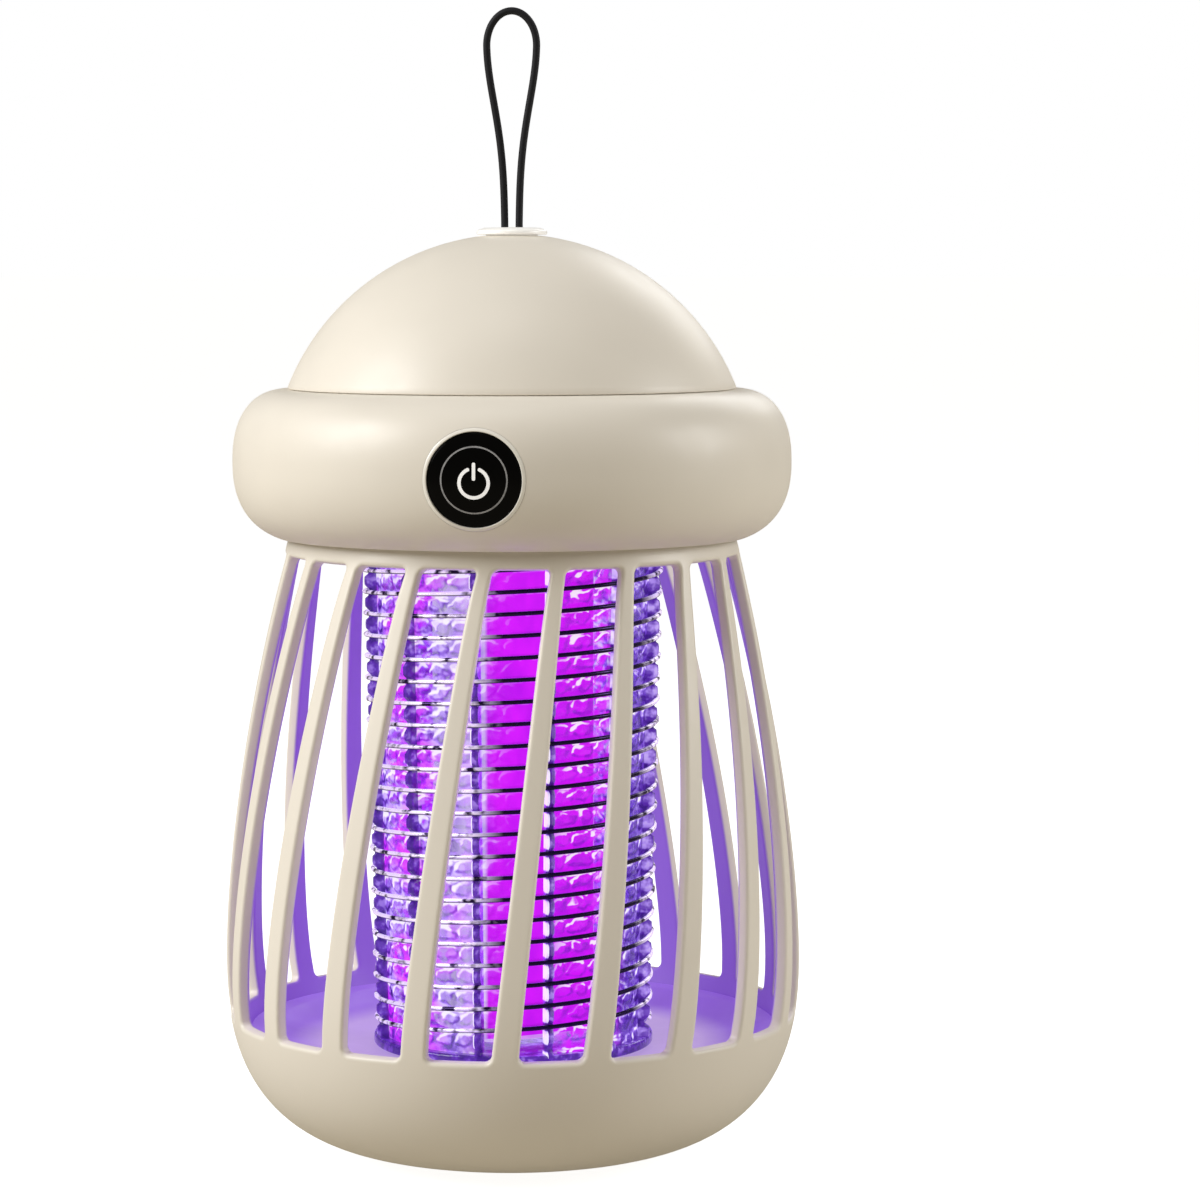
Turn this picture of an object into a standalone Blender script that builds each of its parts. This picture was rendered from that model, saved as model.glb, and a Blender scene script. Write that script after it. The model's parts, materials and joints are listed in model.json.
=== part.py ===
"""Hanging electric bug zapper: a domed head with a fat collar twists onto a slotted cage with a bowl base.

The head carries the battery, the high-voltage board, the power button and the charging socket, and a
column hangs under it: a square lamp inside two interleaved high-voltage wires. Dimensions are metres,
+Z is up, the origin is the middle of the resting plane, and the power button faces -Y.
"""

import math

import bmesh
import bpy
from mathutils import Matrix, Vector

MM = 0.001
GAP = 0.3 * MM  # free space left between neighbouring pieces

# Cage and bowl.
WIDEST_R = 55.0 * MM
WIDEST_Z = 37.7 * MM
NECK_R = 42.6 * MM
NECK_Z = 118.1 * MM
BELLY_POWER = 1.66  # how slowly the cage leaves its widest ring on the way up
FLAT_R = 20.0 * MM
BOTTOM_Z = 0.8 * MM
BOWL_POWER = 2.5  # superellipse exponent of the bowl
WALL = 2.4 * MM
SLOT_TOP = 115.0 * MM
SLOT_BOTTOM = 26.6 * MM
BAR_COUNT = 20
BAR_PHASE = math.radians(1.0)
BAR_TWIST = math.radians(-13.2)
TWIST_POWER = 0.75
BAR_TOP_WIDTH = 2.6 * MM
BAR_BOTTOM_WIDTH = 5.0 * MM
BAR_STEPS = 6
SPIGOT_R = 41.2 * MM
SPIGOT_WALL = 2.2 * MM
SPIGOT_TOP = 124.1 * MM
LEDGE_Z = 22.6 * MM
LEDGE_R = 48.4 * MM
LEDGE_FOOT_Z = 16.8 * MM
GROOVE_OUT = 17.8 * MM
GROOVE_IN = 12.2 * MM
GROOVE_TOP = 2.0 * MM

# Bayonet between the cage's spigot and the head's skirt.
LUG_COUNT = 3
LUG_HALF = math.radians(13)
LUG_BOTTOM = 121.7 * MM
LUG_TOP = 123.5 * MM
LUG_R = 42.3 * MM
STOP_WIDTH = math.radians(2)
TAB_R = 41.55 * MM
TAB_BOTTOM = 119.5 * MM
TAB_TOP = 121.3 * MM
UNLOCK_ANGLE = math.radians(30)  # tab centre to lug centre when the head can lift

# Head.
SKIRT_IN = 42.6 * MM
SKIRT_OUT = 44.4 * MM
DECK_BOTTOM = 124.5 * MM
DECK_TOP = 126.5 * MM
DECK_R = 47.0 * MM
DECK_HOLE_R = 9.0 * MM
COLLAR_R = 53.15 * MM
COLLAR_Z = 132.5 * MM
COLLAR_TOP_R = 43.0 * MM
COLLAR_TOP_H = 13.6 * MM
COLLAR_TOP_POWER = 2.3
COLLAR_LOW_R = 38.0 * MM
COLLAR_LOW_H = 15.3 * MM
COLLAR_LOW_POWER = 2.4
COLLAR_OPENING = 42.0 * MM
COLLAR_LIP_IN = 44.75 * MM
COLLAR_LIP_OUT = 46.5 * MM
SHELL = 2.0 * MM
DOME_R = 45.9 * MM
DOME_Z = 129.5 * MM
DOME_RIM_Z = 146.4 * MM
DOME_SPIGOT_R = 41.6 * MM
DOME_SPIGOT_Z = 142.5 * MM
DOME_HOLE_R = 5.2 * MM
POST_RING_R = 34.0 * MM
POST_R = 3.2 * MM
POST_TOP = 155.0 * MM
POST_ANGLES = [math.radians(a) for a in (90, 210, 330)]

# Hanging cap and cord.
CAP_R = 6.7 * MM
CAP_TOP = 176.7 * MM
CAP_RIM = 1.3 * MM
CAP_PLUG_Z = 171.5 * MM
CORD_R = 0.68 * MM
CORD_HALF = 1.38 * MM
CORD_WIDE = 4.75 * MM
CORD_WIDE_Z = 210.9 * MM
CORD_ARCH = 1.36  # height of the loop's round top, in half widths
CORD_SPREAD = 0.18  # share of the widening that runs evenly up the legs
CORD_PIVOT_Z = 177.6 * MM
CORD_FOOT_Z = 169.5 * MM

# Power button, in front, and charging socket, behind.
CONTROL_Z = 131.5 * MM
BEZEL_R = 9.6 * MM
BEZEL_LIP_R = 8.9 * MM
BEZEL_WALL = 0.3 * MM
BEZEL_LIP = 49.6 * MM  # the back of the lip, from the axis
BEZEL_BACK = 46.8 * MM
BUTTON_R = 8.6 * MM
BUTTON_SINK = 0.2 * MM  # how far the button's face lies inside the collar's surface
FLANGE_FRONT = 49.2 * MM
FLANGE_BACK = 47.9 * MM
STEM_END = 45.2 * MM
PLUNGER_FRONT = 44.9 * MM
PLUNGER_BACK = 42.4 * MM
SWITCH_FACE = -44.0 * MM
SWITCH_BACK = -40.5 * MM
JACK_FACE = 52.3 * MM
JACK_NOSE_R = 4.4 * MM
JACK_BORE_R = 1.9 * MM
CHARGE_R = 1.25 * MM
CHARGE_TILT = math.radians(12.5)
HOLE_END = 60.0 * MM  # how far from the axis the cutters of the collar's holes reach

# Grid and lamp column.
GRID_TOP = 124.2 * MM
GRID_FLANGE_BOTTOM = 121.0 * MM
WIRE_R = 0.4 * MM
WIRE_TOP_Z = 117.0 * MM
WIRE_BOTTOM_Z = 25.4 * MM
WIRE_TOP_R = 28.5 * MM
WIRE_BOTTOM_R = 26.3 * MM
WIRE_PITCH = 8.2 * MM
WIRE_STEPS = 14  # straight stretches in one turn
RIB_COUNT = 12
RIB_PHASE = math.radians(22.5)
RIB_DEPTH = 2.2 * MM
RIB_WIDTH = 1.6 * MM
GRID_WALL = 1.0 * MM  # the clear wall that joins the ribs
GRID_WALL_INSET = 0.6 * MM  # from the ribs' outer edges in to the wall
FLANGE_R = 30.2 * MM
FLANGE_OPENING = 23.5 * MM
FOOT_R = 26.8 * MM
FOOT_OPENING = 10.0 * MM
FOOT_BOTTOM = 20.7 * MM
FOOT_TOP = 22.6 * MM
LAMP_HALF = 12.0 * MM  # half the square lamp's width across its faces
LAMP_WALL = 1.6 * MM
LAMP_BOTTOM = 23.0 * MM
LAMP_TOP = 118.0 * MM
LAMP_FACE_ANGLE = math.radians(34.5)  # the brightest face's middle, from -Y towards +X
PANEL_WIDTH = 15.0 * MM
PANEL_THICK = 1.6 * MM

# Boards and cells inside the head.
BOARD_R = 29.5 * MM
BOARD_BOTTOM = 134.0 * MM
BOARD_TOP = 135.6 * MM
BOARD_SCREWS = [(17.7 * MM, 17.7 * MM), (-17.7 * MM, 17.7 * MM), (0.0, -25.0 * MM)]
GRID_SCREWS = [(26.0 * MM, math.radians(a)) for a in (97.5, 217.5, 337.5)]
CELL_R = 9.2 * MM
CELL_HALF = 32.5 * MM
CELL_Z = 147.5 * MM

AROUND = 40  # facets of the big round shells

COLOURS = {
    "cream": ((0.69, 0.62, 0.50), 0.42, 0.0),
    "cream_dark": ((0.62, 0.55, 0.43), 0.5, 0.0),
    "pearl": ((0.80, 0.77, 0.70), 0.25, 0.0),
    "black_gloss": ((0.01, 0.01, 0.011), 0.12, 0.0),
    "black_cord": ((0.02, 0.02, 0.025), 0.55, 0.0),
    "rubber": ((0.05, 0.05, 0.05), 0.8, 0.0),
    "silicone": ((0.35, 0.32, 0.27), 0.7, 0.0),
    "steel": ((0.62, 0.62, 0.66), 0.22, 1.0),
    "violet_clear": ((0.45, 0.28, 0.80), 0.15, 0.0),
    "lamp": ((0.62, 0.42, 0.92), 0.3, 0.0),
    "board_green": ((0.02, 0.16, 0.07), 0.5, 0.0),
    "board_white": ((0.80, 0.80, 0.80), 0.5, 0.0),
    "cell_blue": ((0.03, 0.14, 0.42), 0.4, 0.0),
    "black_plastic": ((0.03, 0.03, 0.03), 0.5, 0.0),
    "epoxy": ((0.03, 0.03, 0.035), 0.35, 0.0),
    "copper": ((0.70, 0.32, 0.14), 0.4, 1.0),
    "wire_red": ((0.55, 0.03, 0.02), 0.5, 0.0),
    "lens": ((0.75, 0.80, 0.75), 0.2, 0.0),
}


def clear_scene():
    for obj in list(bpy.data.objects):
        bpy.data.objects.remove(obj, do_unlink=True)


def material(name):
    found = bpy.data.materials.get(name)
    if found:
        return found
    colour, roughness, metallic = COLOURS[name]
    made = bpy.data.materials.new(name)
    made.use_nodes = True
    shader = made.node_tree.nodes["Principled BSDF"]
    shader.inputs["Base Color"].default_value = (*colour, 1.0)
    shader.inputs["Roughness"].default_value = roughness
    shader.inputs["Metallic"].default_value = metallic
    return made


def add_object(name, data, paint):
    obj = bpy.data.objects.new(name, data)
    bpy.context.scene.collection.objects.link(obj)
    data.materials.append(material(paint))
    return obj


def mesh_object(name, bm, paint):
    """The bmesh as a closed object with outward faces, smooth except at its corners."""
    bmesh.ops.recalc_face_normals(bm, faces=bm.faces)
    mesh = bpy.data.meshes.new(name)
    bm.to_mesh(mesh)
    bm.free()
    mesh.shade_smooth()
    mesh.set_sharp_from_angle(angle=math.radians(35))
    return add_object(name, mesh, paint)


def helper(obj):
    """Marks a cutter or a piece to be joined, which isn't a node of its own."""
    obj.hide_render = True
    obj.display_type = "WIRE"
    return obj


def boolean(obj, other, operation):
    helper(other)
    modifier = obj.modifiers.new(operation.title() + "_" + other.name, "BOOLEAN")
    modifier.operation = operation
    modifier.object = other
    modifier.solver = "EXACT"


def cut(obj, *others):
    for other in others:
        boolean(obj, other, "DIFFERENCE")


def join(obj, *others):
    for other in others:
        boolean(obj, other, "UNION")


def turned(name, outline, paint, steps=AROUND, phase=0.0):
    """A closed outline of (radius, height) points spun round the Z axis."""
    bm = bmesh.new()
    start = Matrix.Rotation(phase, 4, "Z")
    points = [bm.verts.new(start @ Vector((r, 0.0, z))) for r, z in outline]
    edges = [bm.edges.new(pair) for pair in zip(points, points[1:] + points[:1])]
    bmesh.ops.spin(
        bm,
        geom=points + edges,
        cent=(0, 0, 0),
        axis=(0, 0, 1),
        angle=math.tau,
        steps=steps,
        use_merge=True,
    )
    bmesh.ops.remove_doubles(bm, verts=bm.verts, dist=1e-6)
    bmesh.ops.dissolve_degenerate(bm, edges=bm.edges, dist=1e-7)
    return mesh_object(name, bm, paint)


def facing(axis):
    """A matrix that turns +Z towards axis."""
    return Vector(axis).to_track_quat("Z", "Y").to_matrix().to_4x4()


def stepped_pin(name, steps, place, axis, paint, sides=12):
    """A turned pin: steps are (radius, from, to) along axis, measured from place."""
    outline = [(0.0, steps[0][1])]
    for radius, low, high in steps:
        outline += [(radius, low), (radius, high)]
    outline.append((0.0, steps[-1][2]))
    pin = turned(name, outline, paint, steps=sides)
    pin.data.transform(Matrix.Translation(place) @ facing(axis))
    return pin


def cylinder(name, radius, low, high, place, axis, paint="steel", sides=24):
    return stepped_pin(name, [(radius, low, high)], place, axis, paint, sides)


def box(name, low, high, paint, rounding=0.0):
    bm = bmesh.new()
    middle = (Vector(low) + Vector(high)) / 2
    size = Vector(high) - Vector(low)
    place = Matrix.Translation(middle) @ Matrix.Diagonal((*size, 1.0))
    bmesh.ops.create_cube(bm, size=1.0, matrix=place)
    if rounding:
        bmesh.ops.bevel(
            bm, geom=bm.edges, offset=rounding, segments=1, affect="EDGES"
        )
    return mesh_object(name, bm, paint)


def sector(name, r_in, r_out, low, high, start, end, steps=4):
    """A block bent round the Z axis between two angles, for lugs and tabs."""
    bm = bmesh.new()
    rings = []
    for i in range(steps + 1):
        angle = start + (end - start) * i / steps
        out = Vector((math.cos(angle), math.sin(angle), 0.0))
        corners = ((r_in, low), (r_out, low), (r_out, high), (r_in, high))
        rings.append([bm.verts.new(out * r + Vector((0, 0, z))) for r, z in corners])
    for a, b in zip(rings, rings[1:]):
        for j in range(4):
            bm.faces.new((a[j], a[(j + 1) % 4], b[(j + 1) % 4], b[j]))
    bm.faces.new(rings[0])
    bm.faces.new(rings[-1])
    return mesh_object(name, bm, "cream")


def tube(name, points, radius, paint, sides_level=0):
    """A round cable or wire along points, with closed ends."""
    curve = bpy.data.curves.new(name, "CURVE")
    curve.dimensions = "3D"
    spline = curve.splines.new("POLY")
    spline.points.add(len(points) - 1)
    for point, place in zip(spline.points, points):
        point.co = (*place, 1.0)
    curve.bevel_depth = radius
    curve.bevel_resolution = sides_level
    curve.use_fill_caps = True
    return add_object(name, curve, paint)


def on_ring(radius, angle, z=0.0):
    return Vector((radius * math.cos(angle), radius * math.sin(angle), z))


def from_front(radius, angle, z):
    """A point at an angle measured from -Y towards +X."""
    return Vector((radius * math.sin(angle), -radius * math.cos(angle), z))


def super_arc(r0, a, z0, b, power, start, end, steps):
    """Points of a superellipse quarter from angle start to end, as (radius, height)."""
    points = []
    for i in range(steps + 1):
        t = start + (end - start) * i / steps
        across = max(0.0, math.cos(t)) ** (2 / power)
        along = max(0.0, math.sin(t)) ** (2 / power)
        points.append((r0 + a * across, z0 + b * along))
    return points


def angle_at(height_share, power):
    """The superellipse angle whose height is that share of its full height."""
    return math.asin(height_share ** (power / 2))


# ---------------------------------------------------------------- cage and bowl


def cage_radius(z):
    """The cage's outer radius above its widest ring, and the bowl's below it."""
    if z >= WIDEST_Z:
        share = (z - WIDEST_Z) / (NECK_Z - WIDEST_Z)
        return WIDEST_R - (WIDEST_R - NECK_R) * share**BELLY_POWER
    share = (WIDEST_Z - z) / (WIDEST_Z - BOTTOM_Z)
    return FLAT_R + (WIDEST_R - FLAT_R) * (1 - share**BOWL_POWER) ** (1 / BOWL_POWER)


def slot_share(z):
    return min(1.0, max(0.0, (SLOT_TOP - z) / (SLOT_TOP - SLOT_BOTTOM)))


def bar_edges(bar, z):
    """The two edge angles of a bar, from -Y towards +X; each bar leans as it goes down."""
    share = slot_share(z)
    middle = BAR_PHASE + math.tau * bar / BAR_COUNT + BAR_TWIST * share**TWIST_POWER
    width = BAR_TOP_WIDTH + (BAR_BOTTOM_WIDTH - BAR_TOP_WIDTH) * share**0.6
    half = width / 2 / cage_radius(min(SLOT_TOP, max(SLOT_BOTTOM, z)))
    return middle - half, middle + half


def bowl_outline(wall, start_z, steps):
    """The bowl's profile from start_z down to its flat, wall further in than the outside."""
    drop = WIDEST_Z - BOTTOM_Z - wall
    start = angle_at((WIDEST_Z - start_z) / drop, BOWL_POWER)
    across = WIDEST_R - wall - FLAT_R
    return super_arc(FLAT_R, across, WIDEST_Z, -drop, BOWL_POWER, start, math.pi / 2, steps)


def cage_rows():
    """Outer and inner (radius, height) rows, top to bottom, and the rows that the slots span."""
    slots = [
        SLOT_TOP + (SLOT_BOTTOM - SLOT_TOP) * i / BAR_STEPS for i in range(BAR_STEPS + 1)
    ]
    outer = [(SPIGOT_R, SPIGOT_TOP), (SPIGOT_R, NECK_Z), (NECK_R, NECK_Z)]
    first = len(outer)
    outer += [(cage_radius(z), z) for z in slots]
    outer += bowl_outline(0.0, SLOT_BOTTOM, 6)[1:]
    outer += [
        (GROOVE_OUT, BOTTOM_Z),
        (GROOVE_OUT, GROOVE_TOP),
        (GROOVE_IN, GROOVE_TOP),
        (GROOVE_IN, BOTTOM_Z),
        (0.0, BOTTOM_Z),
    ]
    spigot_in = SPIGOT_R - SPIGOT_WALL
    inner = [(spigot_in, SPIGOT_TOP), (spigot_in, NECK_Z)]
    inner_first = len(inner)
    inner += [(cage_radius(z) - WALL, z) for z in slots]
    inner += [(bowl_outline(WALL, LEDGE_Z, 1)[0][0], LEDGE_Z), (LEDGE_R, LEDGE_Z)]
    inner += bowl_outline(WALL, LEDGE_FOOT_Z, 4)
    inner.append((0.0, inner[-1][1]))
    return outer, first, inner, inner_first


def cage_columns(z):
    angles = []
    for bar in range(BAR_COUNT):
        angles += bar_edges(bar, z)
    return angles


def sheet(bm, rows, open_rows, angles_of):
    """A surface of revolution over the bar columns, with the slots between open_rows left out."""
    grid = []
    for r, z in rows:
        if r == 0.0:
            grid.append([bm.verts.new((0, 0, z))] * (2 * BAR_COUNT))
        else:
            grid.append([bm.verts.new(from_front(r, a, z)) for a in angles_of(z)])
    for i in range(len(rows) - 1):
        for j in range(2 * BAR_COUNT):
            if i in open_rows and j % 2:
                continue
            k = (j + 1) % (2 * BAR_COUNT)
            corners = [grid[i][j], grid[i][k], grid[i + 1][k], grid[i + 1][j]]
            bm.faces.new(dict.fromkeys(corners))
    return grid


def make_cage():
    outer_rows, first, inner_rows, inner_first = cage_rows()
    bm = bmesh.new()
    outer_open = range(first, first + BAR_STEPS)
    inner_open = range(inner_first, inner_first + BAR_STEPS)
    outer = sheet(bm, outer_rows, outer_open, cage_columns)
    inner = sheet(bm, inner_rows, inner_open, cage_columns)
    columns = 2 * BAR_COUNT
    for j in range(columns):
        k = (j + 1) % columns
        bm.faces.new((outer[0][j], outer[0][k], inner[0][k], inner[0][j]))
        for step in range(BAR_STEPS):
            a, b = first + step, inner_first + step
            bm.faces.new((outer[a][j], outer[a + 1][j], inner[b + 1][j], inner[b][j]))
        if j % 2:
            for a, b in ((first, inner_first), (first + BAR_STEPS, inner_first + BAR_STEPS)):
                bm.faces.new((outer[a][j], outer[a][k], inner[b][k], inner[b][j]))
    cage = mesh_object("cage_bowl", bm, "cream")
    for i in range(LUG_COUNT):
        middle = math.tau * i / LUG_COUNT
        root = SPIGOT_R - 0.6 * MM
        lug = sector(
            f"lug_{i}", root, LUG_R, LUG_BOTTOM, LUG_TOP, middle - LUG_HALF, middle + LUG_HALF
        )
        stop = sector(
            f"lug_stop_{i}",
            root,
            LUG_R,
            TAB_BOTTOM,
            LUG_TOP - 0.2 * MM,
            middle - LUG_HALF - STOP_WIDTH,
            middle - LUG_HALF + STOP_WIDTH / 2,
            1,
        )
        join(cage, lug, stop)
    return cage


def make_bowl_fittings():
    turned(
        "bug_tray",
        [
            (0.0, 20.0 * MM),
            (30.0 * MM, 20.0 * MM),
            (44.0 * MM, 21.2 * MM),
            (47.4 * MM, 23.4 * MM),
            (50.3 * MM, 24.2 * MM),
            (50.3 * MM, LEDGE_Z + GAP),
            (48.0 * MM, LEDGE_Z + GAP),
            (45.0 * MM, 20.0 * MM),
            (30.0 * MM, 18.7 * MM),
            (0.0, 18.7 * MM),
        ],
        "cream_dark",
        steps=32,
    )
    turned(
        "foot_ring",
        [
            (GROOVE_OUT - GAP, 0.0),
            (GROOVE_OUT - GAP, GROOVE_TOP - GAP),
            (GROOVE_IN + GAP, GROOVE_TOP - GAP),
            (GROOVE_IN + GAP, 0.0),
        ],
        "rubber",
        steps=32,
    )
    seal_low = NECK_Z + GAP
    seal_high = seal_low + 0.8 * MM
    turned(
        "neck_seal",
        [
            (SPIGOT_R + GAP, seal_low),
            (NECK_R - 0.1 * MM, seal_low),
            (NECK_R - 0.1 * MM, seal_high),
            (SPIGOT_R + GAP, seal_high),
        ],
        "silicone",
    )


# ------------------------------------------------------------------- head shells


def collar_low_angle(inset, radius):
    """The lower superellipse's angle at a given radius."""
    share = (radius - COLLAR_LOW_R) / (COLLAR_R - inset - COLLAR_LOW_R)
    return math.acos(share ** (COLLAR_LOW_POWER / 2))


def collar_side(inset, low_radius, steps):
    """The collar's side from the top down, inset further in than the outside."""
    upper = super_arc(
        COLLAR_TOP_R,
        COLLAR_R - inset - COLLAR_TOP_R,
        COLLAR_Z,
        COLLAR_TOP_H - inset,
        COLLAR_TOP_POWER,
        math.pi / 2,
        0.0,
        steps,
    )
    lower = super_arc(
        COLLAR_LOW_R,
        COLLAR_R - inset - COLLAR_LOW_R,
        COLLAR_Z,
        inset - COLLAR_LOW_H,
        COLLAR_LOW_POWER,
        0.0,
        collar_low_angle(inset, low_radius),
        steps - 1,
    )
    return upper + lower[1:]


def make_collar():
    outside = collar_side(0.0, COLLAR_LIP_IN, 6)
    inside = collar_side(SHELL, COLLAR_LIP_OUT, 4)
    lip_top = DECK_BOTTOM - GAP
    outline = [(COLLAR_OPENING, outside[0][1] - 0.1 * MM)] + outside
    outline += [(COLLAR_LIP_IN, lip_top), (COLLAR_LIP_OUT, lip_top)]
    outline += inside[::-1]
    outline.append((COLLAR_OPENING, inside[0][1]))
    collar = turned("collar_shell", outline, "cream")
    front = Vector((0, 0, CONTROL_Z))
    bezel_start = 46.6 * MM
    socket_start = 46.8 * MM
    jack_r = JACK_NOSE_R + 0.4 * MM
    cut(
        collar,
        cylinder("button_hole", BEZEL_R + GAP, bezel_start, HOLE_END, front, (0, -1, 0), sides=30),
        cylinder("jack_hole", jack_r, socket_start, HOLE_END, front, (0, 1, 0)),
        cylinder("lens_hole", CHARGE_R + 0.35 * MM, socket_start, HOLE_END, front, lens_direction()),
    )


def lens_direction():
    return (math.sin(CHARGE_TILT), math.cos(CHARGE_TILT), 0.0)


def dome_arc(radius, from_r, to_z, steps):
    """The dome's profile from a radius near the top down to a height, as (radius, height)."""
    start = math.asin(from_r / radius)
    end = math.acos((to_z - DOME_Z) / radius)
    points = []
    for i in range(steps + 1):
        a = start + (end - start) * i / steps
        points.append((radius * math.sin(a), DOME_Z + radius * math.cos(a)))
    return points


def make_dome():
    spigot_in = DOME_SPIGOT_R - 1.8 * MM
    inner_r = DOME_R - SHELL
    meet_z = DOME_Z + math.sqrt(inner_r**2 - spigot_in**2)
    outline = dome_arc(DOME_R, DOME_HOLE_R, DOME_RIM_Z, 8)
    outline += [(DOME_SPIGOT_R, DOME_RIM_Z), (DOME_SPIGOT_R, DOME_SPIGOT_Z)]
    outline.append((spigot_in, DOME_SPIGOT_Z))
    outline += dome_arc(inner_r, DOME_HOLE_R, meet_z, 5)[::-1]
    dome = turned("dome_shell", outline, "cream")
    for i, angle in enumerate(POST_ANGLES):
        place = on_ring(POST_RING_R, angle)
        post = cylinder(
            f"dome_post_{i}", POST_R, DECK_TOP + GAP, POST_TOP, place, (0, 0, 1), "cream", 14
        )
        join(dome, post)
    low, high = 125 * MM, 140 * MM
    for i, angle in enumerate(POST_ANGLES):
        place = on_ring(POST_RING_R, angle)
        cut(dome, cylinder(f"dome_pilot_{i}", 1.5 * MM, low, high, place, (0, 0, 1), sides=12))


def make_deck():
    """The plate that closes the head: a skirt with bayonet tabs below, board posts above."""
    deck = turned(
        "head_deck",
        [
            (DECK_HOLE_R, DECK_BOTTOM),
            (SKIRT_IN, DECK_BOTTOM),
            (SKIRT_IN, TAB_BOTTOM),
            (SKIRT_OUT, TAB_BOTTOM),
            (SKIRT_OUT, DECK_BOTTOM),
            (DECK_R, DECK_BOTTOM),
            (DECK_R, DECK_TOP),
            (DECK_HOLE_R, DECK_TOP),
        ],
        "cream",
    )
    for i in range(LUG_COUNT):
        middle = math.tau * i / LUG_COUNT + UNLOCK_ANGLE
        join(
            deck,
            sector(
                f"deck_tab_{i}",
                TAB_R,
                SKIRT_IN + 0.8 * MM,
                TAB_BOTTOM - 0.1 * MM,
                TAB_TOP,
                middle - LUG_HALF,
                middle + LUG_HALF,
            ),
        )
    post_top = BOARD_BOTTOM - GAP
    for i, (x, y) in enumerate(BOARD_SCREWS):
        place = Vector((x, y, 0))
        low = DECK_TOP - 1 * MM
        post = cylinder(
            f"board_post_{i}", 2.5 * MM, low, post_top, place, (0, 0, 1), "cream", 12
        )
        join(deck, post)
        low, high = DECK_TOP + 1.5 * MM, BOARD_TOP + 4 * MM
        cut(deck, cylinder(f"board_pilot_{i}", 1.1 * MM, low, high, place, (0, 0, 1), sides=10))
    for i, side in enumerate((-1, 1)):
        edges = sorted((side * 8.3 * MM, side * 10.3 * MM))
        low = (edges[0], -42 * MM, DECK_TOP - 1 * MM)
        high = (edges[1], -37 * MM, CONTROL_Z + 5 * MM)
        join(deck, box(f"switch_guide_{i}", low, high, "cream"))
    holes = [on_ring(POST_RING_R, a) for a in POST_ANGLES]
    holes += [on_ring(r, a) for r, a in GRID_SCREWS]
    low, high = DECK_BOTTOM - 3 * MM, DECK_TOP + 3 * MM
    for i, place in enumerate(holes):
        cut(deck, cylinder(f"deck_hole_{i}", 1.8 * MM, low, high, place, (0, 0, 1), sides=12))


# ------------------------------------------------------------------ cap and cord


def make_cap():
    rim = CAP_TOP - CAP_RIM
    plug_r = DOME_HOLE_R - GAP
    cap = turned(
        "hang_cap",
        [
            (0.0, CAP_TOP),
            (CAP_R - 1.2 * MM, CAP_TOP),
            (CAP_R - 0.3 * MM, CAP_TOP - 0.4 * MM),
            (CAP_R, rim + 0.3 * MM),
            (CAP_R, rim),
            (plug_r, rim),
            (plug_r, CAP_PLUG_Z),
            (0.0, CAP_PLUG_Z),
        ],
        "pearl",
        steps=24,
    )
    for i, side in enumerate((-1, 1)):
        place = Vector((side * CORD_HALF, 0, 0))
        low, high = CORD_FOOT_Z - 4 * MM, CAP_TOP + 3 * MM
        cut(cap, cylinder(f"cord_hole_{i}", CORD_R + GAP, low, high, place, (0, 0, 1), sides=12))


def cord_half_width(z):
    """Half the gap between the loop's two legs: nearly straight legs that open into a loop."""
    share = min(1.0, max(0.0, (z - CORD_PIVOT_Z) / (CORD_WIDE_Z - CORD_PIVOT_Z)))
    opening = (1 - math.cos(math.pi * share**1.5)) / 2
    widening = CORD_SPREAD * share + (1 - CORD_SPREAD) * opening
    return CORD_HALF + (CORD_WIDE - CORD_HALF) * widening


def cord_loop():
    """The loop's middle line above the pivot: one leg up, a round top, the other leg down."""
    legs = 12
    low = CORD_PIVOT_Z - GAP
    heights = [low + (CORD_WIDE_Z - low) * i / legs for i in range(legs + 1)]
    left = [Vector((-cord_half_width(z), 0, z)) for z in heights]
    arc = []
    for i in range(1, 12):
        a = math.pi * i / 12
        rise = CORD_ARCH * CORD_WIDE * math.sin(a)
        arc.append(Vector((-CORD_WIDE * math.cos(a), 0, CORD_WIDE_Z + rise)))
    right = [Vector((cord_half_width(z), 0, z)) for z in reversed(heights)]
    return left + arc + right


def make_cord():
    tube("hang_cord", cord_loop(), CORD_R, "black_cord")
    top = CORD_PIVOT_Z - 1.05 * MM
    for name, side in (("cord_end_left", -1), ("cord_end_right", 1)):
        x = side * CORD_HALF
        tube(name, [(x, 0, CORD_FOOT_Z), (x, 0, top)], CORD_R, "black_cord")
    clip_low, clip_high = 166.2 * MM, CORD_FOOT_Z - GAP
    box(
        "cord_clip",
        (-3.2 * MM, -1.8 * MM, clip_low),
        (3.2 * MM, 1.8 * MM, clip_high),
        "steel",
        0.5 * MM,
    )


# ------------------------------------------------------------- button and socket


def follow_collar(obj, name, sink):
    """Trims a piece's front so that it follows the collar's surface, sink inside it."""
    outline = [(COLLAR_OPENING, NECK_Z)] + collar_side(sink, COLLAR_LIP_IN, 6)[::-1]
    outline.append((COLLAR_OPENING, COLLAR_Z + COLLAR_TOP_H - sink))
    boolean(obj, turned(name, outline, "cream", steps=72), "INTERSECT")


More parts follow.
